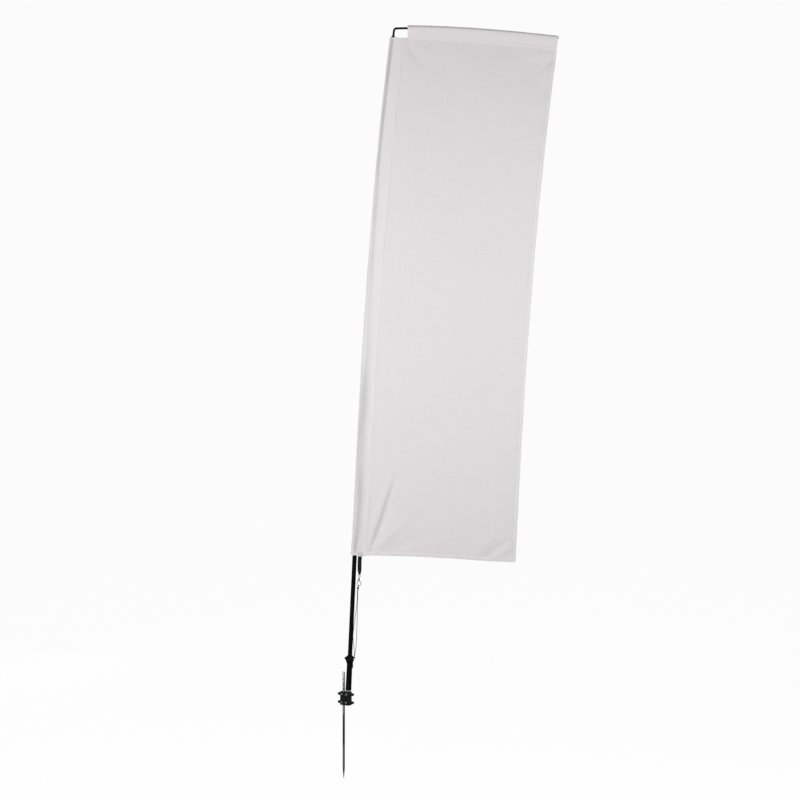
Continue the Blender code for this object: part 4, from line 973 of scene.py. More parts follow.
def make_fasteners():
    ear, tail = EAR_DEPTH / 2, NUT_H + TOUCH_GAP + BOLT_TAIL
    r, head = BOLT_D / 2, BOLT_HEAD_D / 2
    thread = [(r - 0.0003 * (i % 2), -ear - tail + 0.0003 + 0.0004 * i) for i in range(14)]
    bolt = turned([(0.0, -ear - tail), (r - 0.0006, -ear - tail), *thread, (r, ear + TOUCH_GAP),
                   (head, ear + TOUCH_GAP), (head, ear + BOLT_HEAD_H - 0.0007),
                   (head - 0.0003, ear + BOLT_HEAD_H - 0.0002), (head - 0.0008, ear + BOLT_HEAD_H),
                   (0.0, ear + BOLT_HEAD_H)], facets=32)
    bolt = hex_recess(bolt, ear + BOLT_HEAD_H, 0.0023, 0.0022)
    nut = cylinder(NUT_CORNERS / 2, NUT_H, (0, 0, -ear - TOUCH_GAP - NUT_H / 2), 6)
    only(nut)
    bpy.ops.object.transform_apply(location=True, rotation=True, scale=True)
    nut = cut(nut, cylinder(BOLT_D / 2 + TOUCH_GAP, 0.02, (0, 0, -ear - NUT_H / 2), 32))
    for number, (x, z) in enumerate(ear_centres(), 1):
        place = CLAMP_TURN @ Matrix.Translation((x, 0.0, z)) @ ALONG_Y
        dressed(copy_of(bolt), f"clamp_bolt_{number}", "black_steel", "clamp", [f"ear_bolt_{number}"],
                place=place)
        dressed(copy_of(nut), f"clamp_nut_{number}", "black_steel", "clamp", [f"ear_nut_{number}"],
                bevel=0.0004, place=place)
    face, r, head = CLAMP_DEPTH / 2, SCREW_D / 2, SCREW_HEAD_D / 2
    for number, (x, z) in enumerate(screw_centres(), 1):
        rod_r = SPIKE_D / 2 if x == 0.0 else SPINDLE_D / 2
        screw = turned([
            (0.0, rod_r + 2 * TOUCH_GAP), (r, rod_r + 2 * TOUCH_GAP), (r, face + TOUCH_GAP),
            (head, face + TOUCH_GAP), (head, face + SCREW_HEAD_H - 0.0014),
            (head - 0.0004, face + SCREW_HEAD_H - 0.0005), (head - 0.0014, face + SCREW_HEAD_H),
            (0.0, face + SCREW_HEAD_H),
        ], facets=40)
        screw = hex_recess(screw, face + SCREW_HEAD_H, 0.0029, 0.0026)
        lean_y = (z - CLAMP_MIDDLE) * math.tan(LEAN) * math.sin(CLAMP_YAW) if x else 0.0
        place = CLAMP_TURN @ Matrix.Translation((x, min(lean_y, 0.0), z)) @ ALONG_Y
        dressed(screw, f"clamp_head_{number}", "zinc_plate", "clamp", [f"clamp_screw_{number}"], place=place)
    bpy.data.objects.remove(bolt, do_unlink=True)
    bpy.data.objects.remove(nut, do_unlink=True)


SWIVEL = Matrix.Translation((SWIVEL_FOOT_X, PLANE_Y, 0.0)) @ Matrix.Rotation(LEAN, 4, "Y")
HOOK = Matrix.Translation((HOOK_EYE[0], PLANE_Y, HOOK_EYE[1])) @ Matrix.Rotation(HOOK_LEAN, 4, "Y")


# ---- Socket, collar and pole ---------------------------------------------------------------------
def make_socket():
    neck, foot, bore = SOCKET_NECK_R, SOCKET_NECK_R + SOCKET_FLARE / 2, SOCKET_BORE_R
    lip = bore - SEAT_LIP
    socket = turned([
        (bore, SOCKET_BOTTOM), (foot - SOCKET_EDGE * 0.8, SOCKET_BOTTOM),
        (foot - SOCKET_EDGE * 0.3, SOCKET_BOTTOM + SOCKET_EDGE * 0.3), (foot, SOCKET_BOTTOM + SOCKET_EDGE),
        (foot, SOCKET_BOTTOM + 0.008), (foot - 0.0004, SOCKET_BOTTOM + 0.0086),
        (neck + 0.0002, SOCKET_TAPER_TOP), (neck, SOCKET_TAPER_TOP + 0.004), (neck, SOCKET_TOP),
        (bore, SOCKET_TOP), (bore, SEAT_HEIGHT), (lip, SEAT_HEIGHT), (lip, SEAT_HEIGHT - SEAT_THICKNESS),
        (bore, SEAT_HEIGHT - SEAT_THICKNESS),
    ], ring=True, facets=64)
    dressed(socket, "socket_moulding", "black_plastic", "socket", ["socket_tube"], bevel=0.0002,
            place=SWIVEL)
    make_collar()


def make_collar():
    inner, throat, bell = SOCKET_NECK_R + TOUCH_GAP, SOCKET_BORE_R + TOUCH_GAP, COLLAR_BELL_R
    skirt = COLLAR_BOTTOM - 0.0068
    collar = turned([
        (inner, skirt), (inner + 0.0012, skirt), (inner + COLLAR_WALL, skirt + 0.0012),
        (bell - 0.0012, COLLAR_BOTTOM), (bell + 0.0012, COLLAR_BOTTOM + 0.0050),
        (bell + 0.0017, COLLAR_BOTTOM + 0.0080), (bell + 0.0008, COLLAR_BOTTOM + 0.0110),
        (bell - 0.0004, COLLAR_BELL_HEIGHT + 0.0030), (bell - 0.0014, COLLAR_BELL_HEIGHT + 0.0076),
        (throat + 0.0042, COLLAR_TOP - 0.0024), (throat + 0.0020, COLLAR_TOP), (throat, COLLAR_TOP),
        (throat, SOCKET_TOP + TOUCH_GAP), (inner, SOCKET_TOP + TOUCH_GAP),
    ], ring=True, facets=64)
    root, saddle = inner + 0.0012, COLLAR_BELL_R + CORD_D / 2 + HORN_ROOM
    horn = [
        (root + 0.001, HORN_HEIGHT + 0.0008), ((root + saddle) / 2, HORN_HEIGHT + 0.0004),
        (saddle, HORN_HEIGHT), (HORN_REACH - 0.0016, HORN_HEIGHT - HORN_DROOP * 0.35),
        (HORN_REACH, HORN_HEIGHT - HORN_DROOP),
    ]
    radii = [HORN_R + 0.0004, HORN_R, HORN_R, HORN_R * 0.8, HORN_TIP_R]
    horns = [bar([Vector((x, 0.0, z)) for x, z in horn], radii, rounds=6)]
    lobe = [(-root, HORN_HEIGHT - 0.0022), (-bell, HORN_HEIGHT - 0.0034),
            (-HORN_REACH + 0.0036, HORN_HEIGHT - 0.0044), (-HORN_REACH + 0.0014, HORN_HEIGHT - 0.0050),
            (-HORN_REACH, HORN_HEIGHT - 0.0054)]
    lobe_radii = [0.0066, 0.0062, 0.0056, 0.0048, 0.0030]
    horns.append(bar([Vector((x, 0.0, z)) for x, z in lobe], lobe_radii, rounds=6))
    tongue = block((TONGUE_THICKNESS + 0.0010, TONGUE_WIDTH, COLLAR_BOTTOM + 0.006 - TONGUE_BOTTOM),
                   (inner + TONGUE_THICKNESS / 2 - 0.0005, 0.0,
                    (COLLAR_BOTTOM + 0.006 + TONGUE_BOTTOM) / 2), 0.0005)
    collar = united(collar, *horns, tongue)
    low, high = 0.15, SOCKET_TOP + TOUCH_GAP
    clearance = cylinder(inner, high - low, (0, 0, (high + low) / 2), 64)
    height = (TONGUE_BOTTOM + COLLAR_BOTTOM) / 2 - 0.003
    hole = cylinder(COLLAR_SCREW_D / 2 + TOUCH_GAP, 0.012, (inner + 0.004, 0, height), 24,
                    (0, math.pi / 2, 0))
    collar = cut(collar, clearance, hole)
    dressed(collar, "collar_moulding", "black_plastic", "socket", ["tether_collar"], bevel=0.0003,
            angle=40, place=SWIVEL)
    r, seat = COLLAR_SCREW_D / 2, inner + TONGUE_THICKNESS + TOUCH_GAP
    screw = turned([(0.0, inner), (r, inner), (r, seat), (r + 0.0012, seat), (r + 0.0011, seat + 0.0006),
                    (r + 0.0005, seat + 0.0013), (0.0, seat + 0.0016)], facets=32)
    slot_cut = block((0.008, 0.0008, 0.0012), (0, 0, seat + 0.0016))
    screw = cut(screw, slot_cut)
    dressed(screw, "collar_screw_head", "zinc_plate", "socket", ["collar_screw"],
            place=SWIVEL @ Matrix.Translation((0.0, 0.0, height)) @ Matrix.Rotation(math.pi / 2, 4, "Y"))


def make_pole():
    r, upper_r, tip_r = POLE_D / 2, POLE_UPPER_D / 2, POLE_TIP_D / 2
    ring_r, tip_ring_r = r + TOUCH_GAP + FERRULE_WALL, tip_r + 0.0002 + TOUCH_GAP + FERRULE_WALL
    half_gap = TOUCH_GAP / 2
    tubes = (  # its name and node, where it starts and ends, its sections, end radii, wall and bevel
        ("pole_lower_tube", "pole_lower", POLE_FOOT, POLE_JOINT - half_gap, 40, r, r, POLE_WALL, 0.0),
        ("pole_upper_tube", "pole_upper", POLE_JOINT + half_gap, POLE_END, 40, upper_r, tip_r,
         POLE_UPPER_WALL, 0.0),
        ("joint_ring", "joint_ferrule", POLE_JOINT - FERRULE_REACH, POLE_JOINT - half_gap, 5, ring_r,
         ring_r, FERRULE_WALL, 0.0003),
        ("tip_ring", "tip_ferrule", POLE_END - TOP_FERRULE_REACH, POLE_END, 5, tip_ring_r, tip_ring_r,
         FERRULE_WALL, 0.0003),
    )
    for name, node, start, end, count, low_r, high_r, wall, bevel in tubes:
        points = [pole_point(s) for s in spaced(start, end, count)]
        tube = bar(points, spaced(low_r, high_r, count), wall=wall, rounds=14)
        dressed(tube, name, "pole_black", "pole", [node], bevel=bevel)


def make_arm():
    path = corner_path()
    dressed(bar(path, [CORNER_R] * len(path), wall=CORNER_WALL, rounds=10), "corner_bend", "pole_black",
            "pole", ["corner_tube"], bevel=0.0002)
    lengths = spaced(CORNER_ARM - ARM_PLUG, ARM_LENGTH - ARM_CAP_WALL - TOUCH_GAP, 40)
    dressed(bar([arm_point(s) for s in lengths], [ARM_R] * 40, rounds=8), "arm_bar", "pole_black", "pole",
            ["arm_rod"])
    tip, angle = arm_point(ARM_LENGTH), arm_rise(ARM_LENGTH)
    bore, wall = ARM_R + TOUCH_GAP, ARM_CAP_WALL
    cap = turned([
        (0.0, -wall), (bore, -wall), (bore, -ARM_CAP_L), (ARM_CAP_D / 2 - 0.0003, -ARM_CAP_L),
        (ARM_CAP_D / 2, -ARM_CAP_L + 0.0004), (ARM_CAP_D / 2, -0.0024), (ARM_CAP_D / 2 - 0.0005, -0.0010),
        (ARM_CAP_D / 2 - 0.0016, 0.0), (0.0, 0.0),
    ], facets=40)
    dressed(cap, "arm_end_cap", "rubber", "pole", ["arm_cap"],
            place=Matrix.Translation(tip) @ Matrix.Rotation(math.pi / 2 - angle, 4, "Y"))


# ---- Banner --------------------------------------------------------------------------------------
def pole_radius(length):
    """How thick the pole is where the sleeve lies on it, ferrules among it."""
    if length < POLE_JOINT:
        rise = smooth((length - POLE_JOINT + FERRULE_REACH + 0.014) / 0.012)
        return POLE_D / 2 + (FERRULE_WALL + TOUCH_GAP) * rise
    share = (length - POLE_JOINT) / (POLE_END - POLE_JOINT)
    r = (POLE_UPPER_D + (POLE_TIP_D - POLE_UPPER_D) * share) / 2
    step = (POLE_D / 2 + FERRULE_WALL + TOUCH_GAP - r) * (1 - smooth((length - POLE_JOINT - 0.002) / 0.018))
    tip = 0.0016 * smooth((length - POLE_END + TOP_FERRULE_REACH + 0.014) / 0.010)
    return r + step + tip


def crease(x, z, start, end, width, depth):
    """One soft fold along a line, fading out at both of its ends."""
    along = Vector((end[0] - start[0], end[1] - start[1]))
    off = Vector((x - start[0], z - start[1]))
    t = off.dot(along) / along.length_squared
    aside = (off - along * t).length * (1 if off.cross(along) > 0 else -1)
    fade = smooth((t + 0.15) / 0.4) * (1 - smooth((t - 0.55) / 0.6))
    return depth * fade * math.exp(-(aside / width) ** 2)


FOLDS = (  # start, end, half width and depth of the pulls and folds, in the banner's plane
    ((0.100, 0.668), (0.215, 1.020), 0.012, -0.0072), ((0.128, 0.680), (0.236, 1.000), 0.013, 0.0060),
    ((0.118, 0.664), (0.250, 0.930), 0.014, 0.0042),
    ((0.128, 0.660), (0.330, 0.860), 0.014, -0.0034), ((0.140, 0.654), (0.430, 0.760), 0.013, 0.0026),
    ((0.098, 0.672), (0.130, 0.900), 0.010, 0.0030), ((0.610, 0.640), (0.722, 0.722), 0.013, 0.0046),
    ((0.640, 0.632), (0.735, 0.690), 0.009, -0.0034), ((0.560, 0.640), (0.700, 0.800), 0.018, -0.0030),
    ((0.905, 2.800), (0.820, 2.700), 0.014, 0.0034), ((0.900, 2.812), (0.780, 2.780), 0.010, -0.0028),
    ((0.912, 2.790), (0.868, 2.640), 0.013, -0.0032), ((0.270, 2.860), (0.330, 2.760), 0.014, 0.0034),
    ((0.262, 2.868), (0.420, 2.800), 0.014, -0.0026), ((0.258, 2.864), (0.275, 2.700), 0.011, -0.0026),
    ((0.420, 2.850), (0.500, 2.560), 0.030, 0.0022), ((0.700, 2.830), (0.640, 2.500), 0.034, -0.0024),
)


def billow(x, z, u, v):
    """How far the cloth stands behind its plane: a broad belly, pulls from its corners and crumples."""
    loose = smooth(u / 0.06) * smooth((1 - v) / 0.03)
    belly = 0.0048 * math.sin(math.pi * u) * math.sin(math.pi * min(v * 1.1, 1.0)) + 0.0022 * math.sin(
        5.2 * math.pi * v + 1.4 * math.pi * u) * u
    ripple = 0.0016 * math.sin(x * 62.0 + 1.3 * math.sin(z * 9.0)) * (1 - smooth(v / 0.10))
    ripple += 0.0012 * math.sin(z * 47.0 + 2.0 * u) * smooth((u - 0.88) / 0.12)
    small = 0.0013 * noise.noise((x * 9.0, z * 5.0, 0.0)) + 0.0005 * noise.noise((x * 34.0, z * 26.0, 3.0))
    pulls = sum(crease(x, z, *fold) for fold in FOLDS)
    return loose * (belly + ripple + small + pulls)


@lru_cache(maxsize=None)
def panel_sides(v):
    """The panel's seam and free edge at a share of its height."""
    low = pole_point(SLEEVE_BOTTOM, SEAM_ASIDE)
    s = round(SLEEVE_BOTTOM + (CLOTH_TOP - SLEEVE_BOTTOM) * v, 5)
    left = pole_point(s, SEAM_ASIDE) + Vector((0.0, 0.0, level(s, SEAM_ASIDE)))
    low_z = pole_point(SLEEVE_BOTTOM).z - PANEL_BOTTOM_DROP
    high = arm_point(POCKET_END, POCKET_TALL - POCKET_CREST[1])
    z = low_z + (high.z - low_z) * v
    x = free_edge(z)
    return (left if v else low), Vector((x + (high.x - free_edge(high.z)) * v**6, PLANE_Y, z))


def panel_point(u, v, lift=0.0):
    """A point on the panel, at a share across it and up it, lifted off to the front."""
    left, right = panel_sides(v)
    top_left, top_right = panel_sides(1.0)
    place = left.lerp(right, u)
    chord = top_left.lerp(top_right, u)
    start, end = arm_point(POCKET_START).x, arm_point(POCKET_END).x
    share = min(max((chord.x - start) / (end - start), 0.0), 1.0)
    seam = arm_point(round(POCKET_START + (POCKET_END - POCKET_START) * share, 5),
                     POCKET_TALL - POCKET_CREST[0] + (POCKET_CREST[0] - POCKET_CREST[1]) * share).z
    notch = 1 - smooth((chord.x - start) / 0.05)
    place.z += (seam + (top_left.z - seam) * notch - chord.z) * v**8
    place.z += 0.0045 * math.sin(math.pi * min(u * 1.25, 1.0)) * (1 - v) ** 6
    place.z -= 0.0046 * math.exp(-(u / 0.03) ** 2) * (1 - smooth(v / 0.025))
    place.y += billow(place.x, place.z, u, v) - lift
    return place


def make_panel():
    rows = [[panel_point(u, v) for u in spaced(0.0, 1.0, 92)] for v in spaced(0.0, 1.0, 250)]
    panel, area = sheet_mesh("banner_panel", rows)
    dressed(panel, "banner_panel", "white_polyester", "pole", ["flag_panel"], angle=80)
    width = (panel_sides(1.0)[1] - panel_sides(1.0)[0]).length + 0.004
    hems = [make_hem("side_hem", [(1.0, v) for v in spaced(0.0, 1.0, 190)], "u", SIDE_HEM),
            make_hem("foot_hem", [(u, 0.0) for u in spaced(0.0, 1.0, 80)], "v", FOOT_HEM)]


def make_hem(name, track, way, deep):
    """A doubled hem folded round an edge of the panel, as a strip on its front and its back."""
    rows = []
    for u, v in track:
        row = []
        for inset, lift in ((deep, 0.00075), (deep * 0.5, 0.00085), (0.0009, 0.0009), (0.0, 0.0006),
                            (-0.0008, 0.0), (0.0, -0.0006), (0.0009, -0.0009), (deep * 0.5, -0.00085),
                            (deep, -0.00075)):
            if way == "u":
                left, right = panel_sides(v)
                at = panel_point(1.0 - inset / (right - left).length, v, lift)
            else:
                at = panel_point(u, max(inset, 0.0) / PANEL_TALL, lift) - Vector((0, 0, max(-inset, 0.0)))
            row.append(at)
        rows.append(row)
    hem, _ = sheet_mesh(name, rows, wall=0.0003)
    return dressed(hem, name, "hem_polyester", "pole", angle=60)


def standing(across, reach, depth, start, power):
    """How far a layer stands off, where it comes down from a tube's side to a seam that far away."""
    flat = max(0.0, across - start * depth) / (reach - start * depth)
    return depth * (1 - flat) ** power + 0.0004


def sleeve_section(length, count=40):
    """The sleeve's loop at a length up the pole: round the pole, then both layers flat to the seam."""
    depth = pole_radius(length) + 0.0011
    foot = HEM_FLARE * (1 - smooth((length - SLEEVE_BOTTOM) / 0.09))
    left = SLEEVE_LEFT + foot + 0.0007 * noise.noise((length * 11.0, 0.0, 5.0))
    found = []
    for index in range(count):
        a = 2 * math.pi * index / count
        x = -math.cos(a)
        if x < 0:
            across, stand = x * left, math.sqrt(max(0.0, 1 - x * x)) * depth
        else:
            across = x * SEAM_ASIDE
            stand = standing(across, SEAM_ASIDE, depth, 0.25, 1.15)
        wrinkle = noise.noise((length * 24.0, across * 40.0, 9.0)) * 0.0008 * smooth(across / 0.012)
        side = -1 if a < math.pi else 1
        lean_back = level(length, across) - strap_pull(length, across)
        at = pole_point(length, across) + Vector((0.0, side * stand + wrinkle, lean_back))
        found.append((at, pole_shade(length, across)))
    return found


def strap_pull(length, across):
    """The strap draws the sleeve's foot down where it is sewn on."""
    low = 1 - smooth((length - SLEEVE_BOTTOM) / 0.05)
    return low * (0.0020 + 0.0050 * math.exp(-((across - STRAP_ASIDE) / 0.014) ** 2))


def level(length, across):
    """The sleeve's top is cut level, so its last rows lean back from square to the pole."""
    return across * math.sin(pole_lean(length)) * smooth((length - SLEEVE_TOP + 0.07) / 0.06)


POLE_SHADE = (  # painted shade on the sleeve, up the pole: where it is darkest, how wide it fades to the left and right, how much
    (0.655, 0.000, 0.0060, 0.0070, 0.10), (0.680, 0.000, 0.0060, 0.0075, 0.38),
    (0.800, 0.004, 0.0090, 0.0160, 0.26), (0.890, 0.0045, 0.0095, 0.0180, 0.25),
    (1.100, -0.0060, 0.0045, 0.0220, 0.27), (1.330, -0.0010, 0.0075, 0.0200, 0.28),
    (1.530, 0.0040, 0.0100, 0.0160, 0.11), (1.750, 0.0000, 0.0080, 0.0120, 0.14),
    (1.960, -0.0010, 0.0045, 0.0090, 0.22), (2.200, -0.0022, 0.0050, 0.0085, 0.27),
    (2.350, -0.0045, 0.0050, 0.0065, 0.36), (2.870, -0.0030, 0.0048, 0.0060, 0.42),
    (2.881, -0.0030, 0.0048, 0.0060, 0.10),
)


def between(rows, at):
    """The row of values at a length, eased between the rows given."""
    for low, high in zip(rows, rows[1:]):
        if at <= high[0]:
            break
    share = smooth((at - low[0]) / (high[0] - low[0]))
    return [a + (b - a) * share for a, b in zip(low[1:], high[1:])]


def pole_shade(length, across):
    """How much painted shade the sleeve takes where it lies on the pole, for the pole's black seen through
    the cloth and the cloth turning from the light: tight and sharp high up, softer low.
    """
    middle, left, right, strength = between(POLE_SHADE, length)
    width = left if across < middle else right
    uneven = 1.0 + 0.25 * noise.noise((length * 6.0, 0.0, 1.0))
    pole = strength * uneven * math.exp(-(abs(across - middle) / width) ** 2.2)
    # painted shade on the sleeve's foot where the strap's head lies behind it
    aside, up = (across - STRAP_ASIDE) / 0.0105, (length - STRAP_TOP) / 0.0075
    strap = 0.26 * math.exp(-aside**6 - up**6)
    return min(1.0, max(pole, strap))


def make_sleeve():
    rows = [sleeve_section(s) for s in spaced(SLEEVE_BOTTOM, CLOTH_TOP, 230)]
    # the sleeve carries its painted shade from pole_shade on its mesh
    sleeve, area = sheet_mesh("banner_sleeve", [[p for p, _ in row] for row in rows], closed=True,
                              painted_shade=[[t for _, t in row] for row in rows])
    dressed(sleeve, "banner_sleeve", "tube_polyester", "pole", ["pole_sleeve"],
            angle=80)
    bands = [make_band("sleeve_seam_band", spaced(SLEEVE_BOTTOM, CLOTH_TOP, 170))]


def make_band(name, lengths):
    """The sewn-down edge beside the sleeve's seam, on its front and back."""
    rows = []
    for s in lengths:
        v = (s - SLEEVE_BOTTOM) / (CLOTH_TOP - SLEEVE_BOTTOM)
        width = (panel_sides(v)[1] - panel_sides(v)[0]).length
        front = [panel_point(x / width, v, 0.0011) for x in (0.0005, SEAM_BAND / 2, SEAM_BAND)]
        back = [panel_point(x / width, v, -0.0011) for x in (0.0005, SEAM_BAND / 2, SEAM_BAND)]
        fold = pole_point(round(s, 5), SEAM_ASIDE - 0.001) + Vector((0.0, 0.0, level(s, SEAM_ASIDE)))
        rows.append([*front[::-1], fold + Vector((0, -0.0012, 0)), fold + Vector((0, 0.0012, 0)), *back])
    band, _ = sheet_mesh(name, rows, wall=0.0003)
    return dressed(band, name, "hem_polyester", "pole", angle=60)


TAPE_SECTION = (  # the pocket's tape: below the pocket's foot, and before or behind its middle
    (-0.010, -0.0022), (-0.004, -0.0016), (0.001, -0.0011), (0.001, 0.0011), (-0.004, 0.0016),
    (-0.010, 0.0022),
)


def pocket_crest(t):
    """How far the pocket's fold stands over the rod's middle, at a length along the arm."""
    share = (t - POCKET_START) / (POCKET_END - POCKET_START)
    return POCKET_CREST[0] + (POCKET_CREST[1] - POCKET_CREST[0]) * share


def pocket_section(t, count=36):
    crest = pocket_crest(t)
    under = POCKET_TALL - crest
    cap = smooth((t - ARM_LENGTH + ARM_CAP_L + 0.012) / 0.010) * (ARM_CAP_D - ARM_D) / 2
    depth = ARM_R + cap + 0.0012 + 0.0016 * (1 - smooth((t - CORNER_ARM) / 0.02))
    found = []
    for index in range(count):
        a = 2 * math.pi * index / count
        down = -math.cos(a)
        if down < 0:
            below, stand = down * crest, (1 - down * down) ** 0.5 * depth
        else:
            below = down * under
            stand = standing(below, under, depth, 0.2, 1.2)
        sag = noise.noise((t * 30.0, below * 30.0, 2.0)) * 0.0011 * smooth(below / 0.02)
        side = -1 if a < math.pi else 1
        # painted shade: a dark band along the pocket's fold above the rod
        shade = 0.34 * math.exp(-(abs(below + crest * 0.72) / 0.0052) ** 3)
        found.append((arm_point(t, below) + Vector((0.0, side * stand + sag, 0.0)), shade))
    return found


def make_pocket():
    lengths = [round(t, 5) for t in spaced(POCKET_START, POCKET_END, 110)]
    sections = [pocket_section(t) for t in lengths]
    # the pocket carries its painted shade band on its mesh
    pocket, area = sheet_mesh("banner_pocket", [[p for p, _ in row] for row in sections], closed=True,
                              painted_shade=[[t for _, t in row] for row in sections])
    dressed(pocket, "banner_pocket", "tube_polyester", "pole", ["arm_pocket"],
            angle=80)
    rows = []
    for t in lengths:
        under = POCKET_TALL - pocket_crest(t)
        rows.append([arm_point(t, under + low) + Vector((0, stand, 0)) for low, stand in TAPE_SECTION])
    tape, _ = sheet_mesh("pocket_tape", rows, wall=0.0003)
    dressed(tape, "pocket_tape", "hem_polyester", "pole", angle=60)


def one_stitch():
    """One short stitch along X, rounded down into the cloth at both ends."""
    obj = cylinder(STITCH_R, STITCH, (0, 0, 0), 5, (0, math.pi / 2, 0))
    bpy.ops.object.transform_apply(location=True, rotation=True, scale=True)
    edit()
    bpy.ops.mesh.bisect(plane_co=(STITCH * 0.28, 0, 0), plane_no=(1, 0, 0))
    bpy.ops.mesh.select_all(action="SELECT")
    bpy.ops.mesh.bisect(plane_co=(-STITCH * 0.28, 0, 0), plane_no=(1, 0, 0))
    leave_edit()
    for vert in obj.data.vertices:
        if abs(vert.co.x) > STITCH * 0.4:
            vert.co.z = vert.co.z * 0.6 - STITCH_R * 0.8
    return obj


def stitched(name, runs, material, body, faces=(-1, 1)):
    """Rows of stitches along runs of points, on the cloth's front, its back or both."""
    stitch = one_stitch()
    shape = [v.co.copy() for v in stitch.data.vertices]
    sides = [tuple(p.vertices) for p in stitch.data.polygons]
    verts, polygons = [], []
    for run, stand in runs:
        gone, mark = 0.0, STITCH_PITCH / 2
        for a, b in zip(run, run[1:]):
            step = (b - a).length
            along = (b - a).normalized()
            while mark < gone + step:
                at = a + along * (mark - gone)
                for face in faces:
                    out = Vector((0.0, face, 0.0))
                    out = (out - along * out.dot(along)).normalized()
                    across = out.cross(along)
                    base = len(verts)
                    verts += [at + out * stand + along * p.x + across * p.y + out * p.z for p in shape]
                    polygons += [tuple(base + i for i in side) for side in sides]
                mark += STITCH_PITCH
            gone += step
    mesh = bpy.data.meshes.new(name)
    mesh.from_pydata(verts, [], polygons)
    obj = placed(name, mesh)
    bpy.data.objects.remove(stitch, do_unlink=True)
    only(obj)
    edit()
    faced_out()
    return dressed(obj, name, material, body, angle=60)


def make_stitching():
    def inner(v, inset):
        left, right = panel_sides(v)
        return panel_point(1.0 - inset / (right - left).length, v)

    def beside_seam(v, off):
        left, right = panel_sides(v)
        return panel_point(off / (right - left).length, v)

    heights = [round(v, 5) for v in spaced(0.002, 0.985, 240)]
    shares = spaced(0.02, 0.985, 90)
    stitched("hem_stitches", [
        ([inner(v, SIDE_HEM - 0.0016) for v in heights], 0.0011),
        ([panel_point(u, (FOOT_HEM - 0.0016) / PANEL_TALL) for u in shares], 0.0011),
    ], "white_thread", "pole")
    stitched("sleeve_stitches", [
        ([beside_seam(v, off) for v in heights], 0.0014) for off in (0.0018, SEAM_BAND - 0.0016)
    ], "white_thread", "pole")
    lengths = [round(t, 5) for t in spaced(POCKET_START + 0.002, POCKET_END - 0.002, 90)]

    def under_rod(t, up):
        return arm_point(t, POCKET_TALL - pocket_crest(t) - up)

    stitched("pocket_stitches", [
        ([under_rod(t, 0.0012) for t in lengths], 0.0016), ([under_rod(t, 0.0085) for t in lengths], 0.0024),
    ], "white_thread", "pole")


# ---- Tether --------------------------------------------------------------------------------------
def strap_sides():
    """The strap's outline up its length: (height, middle, half width)."""
    top_x = pole_point(STRAP_TOP).x + SLEEVE_FOOT / 2 + 0.0006 + STRAP_WIDTH / 2
    tip_z = HOOK_EYE[1] + EYE_R + EYE_WIRE / 2 + TOUCH_GAP
    tip_x = HOOK_EYE[0] + (EYE_R + EYE_WIRE / 2) * math.sin(HOOK_LEAN)
    found = []
    for share in spaced(0.0, 1.0, 40):
        z = tip_z + (STRAP_TOP - tip_z) * share
        x = tip_x + (top_x - tip_x) * share - 0.0012 * math.sin(math.pi * share)
        half = STRAP_TIP_WIDTH / 2 + (STRAP_WIDTH - STRAP_TIP_WIDTH) / 2 * smooth((z - tip_z) / STRAP_TAPER)
        found.append((z, x, half))
    return found


def make_strap():
    """A folded webbing strap: two layers sewn together, drawn in where they pass through the eye."""
    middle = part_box("tether_strap")
    y = (middle[0].y + middle[1].y) / 2
    layers = []
    for side in (-1, 1):
        rows = []
        for z, x, half in strap_sides():
            rows.append([
                Vector((x + half * k, y + side * 0.00062 + 0.00012 * math.cos(k * 9.0) * side, z))
                for k in spaced(-1.0, 1.0, 11)
            ])
        layer, _ = sheet_mesh("strap_layer", rows, wall=0.0010)
        layers.append(layer)
    tip_z, tip_x, _ = strap_sides()[0]
    wrap = EYE_WIRE / 2 + 0.0009
    rows = []
    for a in spaced(-math.pi / 2, math.pi / 2, 15):
        lower = Vector((tip_x, PLANE_Y, HOOK_EYE[1] + EYE_R))
        rows.append([lower + Vector((k * 0.0019, wrap * math.sin(a), -wrap * math.cos(a)))
                     for k in spaced(-1.0, 1.0, 5)])
    rows = [[Vector((p.x, y - 0.0014, tip_z + 0.003)) for p in rows[0]], *rows,
            [Vector((p.x, y + 0.0014, tip_z + 0.003)) for p in rows[-1]]]
    fold, _ = sheet_mesh("strap_fold", rows, wall=0.0007)
    strap = joined(*layers, fold)
    dressed(strap, "tether_webbing", "black_webbing", "pole", ["tether_strap"], bevel=0.0002, angle=50)
    sides = strap_sides()
    runs = [([Vector((x + off * (half - 0.0016), y, z)) for z, x, half in sides[3:]], 0.0013)
            for off in (-1, 1)]
    stitched("strap_stitches", runs, "black_thread", "pole")


def make_tack():
    """The box of stitches that holds the strap's head to the banner's foot, through the sleeve."""
    low, high, x0, x1 = 0.6485, 0.6600, 0.0640, 0.0810
    corners = [(x0, low), (x1, low), (x1, high), (x0, high), (x0, low), (x1, high), (x1, low), (x0, high)]
    run = []
    for (xa, za), (xb, zb) in zip(corners, corners[1:]):
        run += [(xa + (xb - xa) * k, za + (zb - za) * k) for k in spaced(0.0, 0.96, 8)]
    path = [Vector((x, PLANE_Y - sleeve_front(x, z), z)) for x, z in run]
    stitched("tack_stitches", [(path, 0.0004)], "black_thread", "pole", faces=(-1,))


def sleeve_front(x, z):
    """How far the sleeve's front stands before the banner's plane at its foot."""
    axis = pole_point(round(z, 4))
    across = x - axis.x
    depth = pole_radius(0.7) + 0.0011
    return standing(min(across, SEAM_ASIDE), SEAM_ASIDE, depth, 0.25, 1.15)


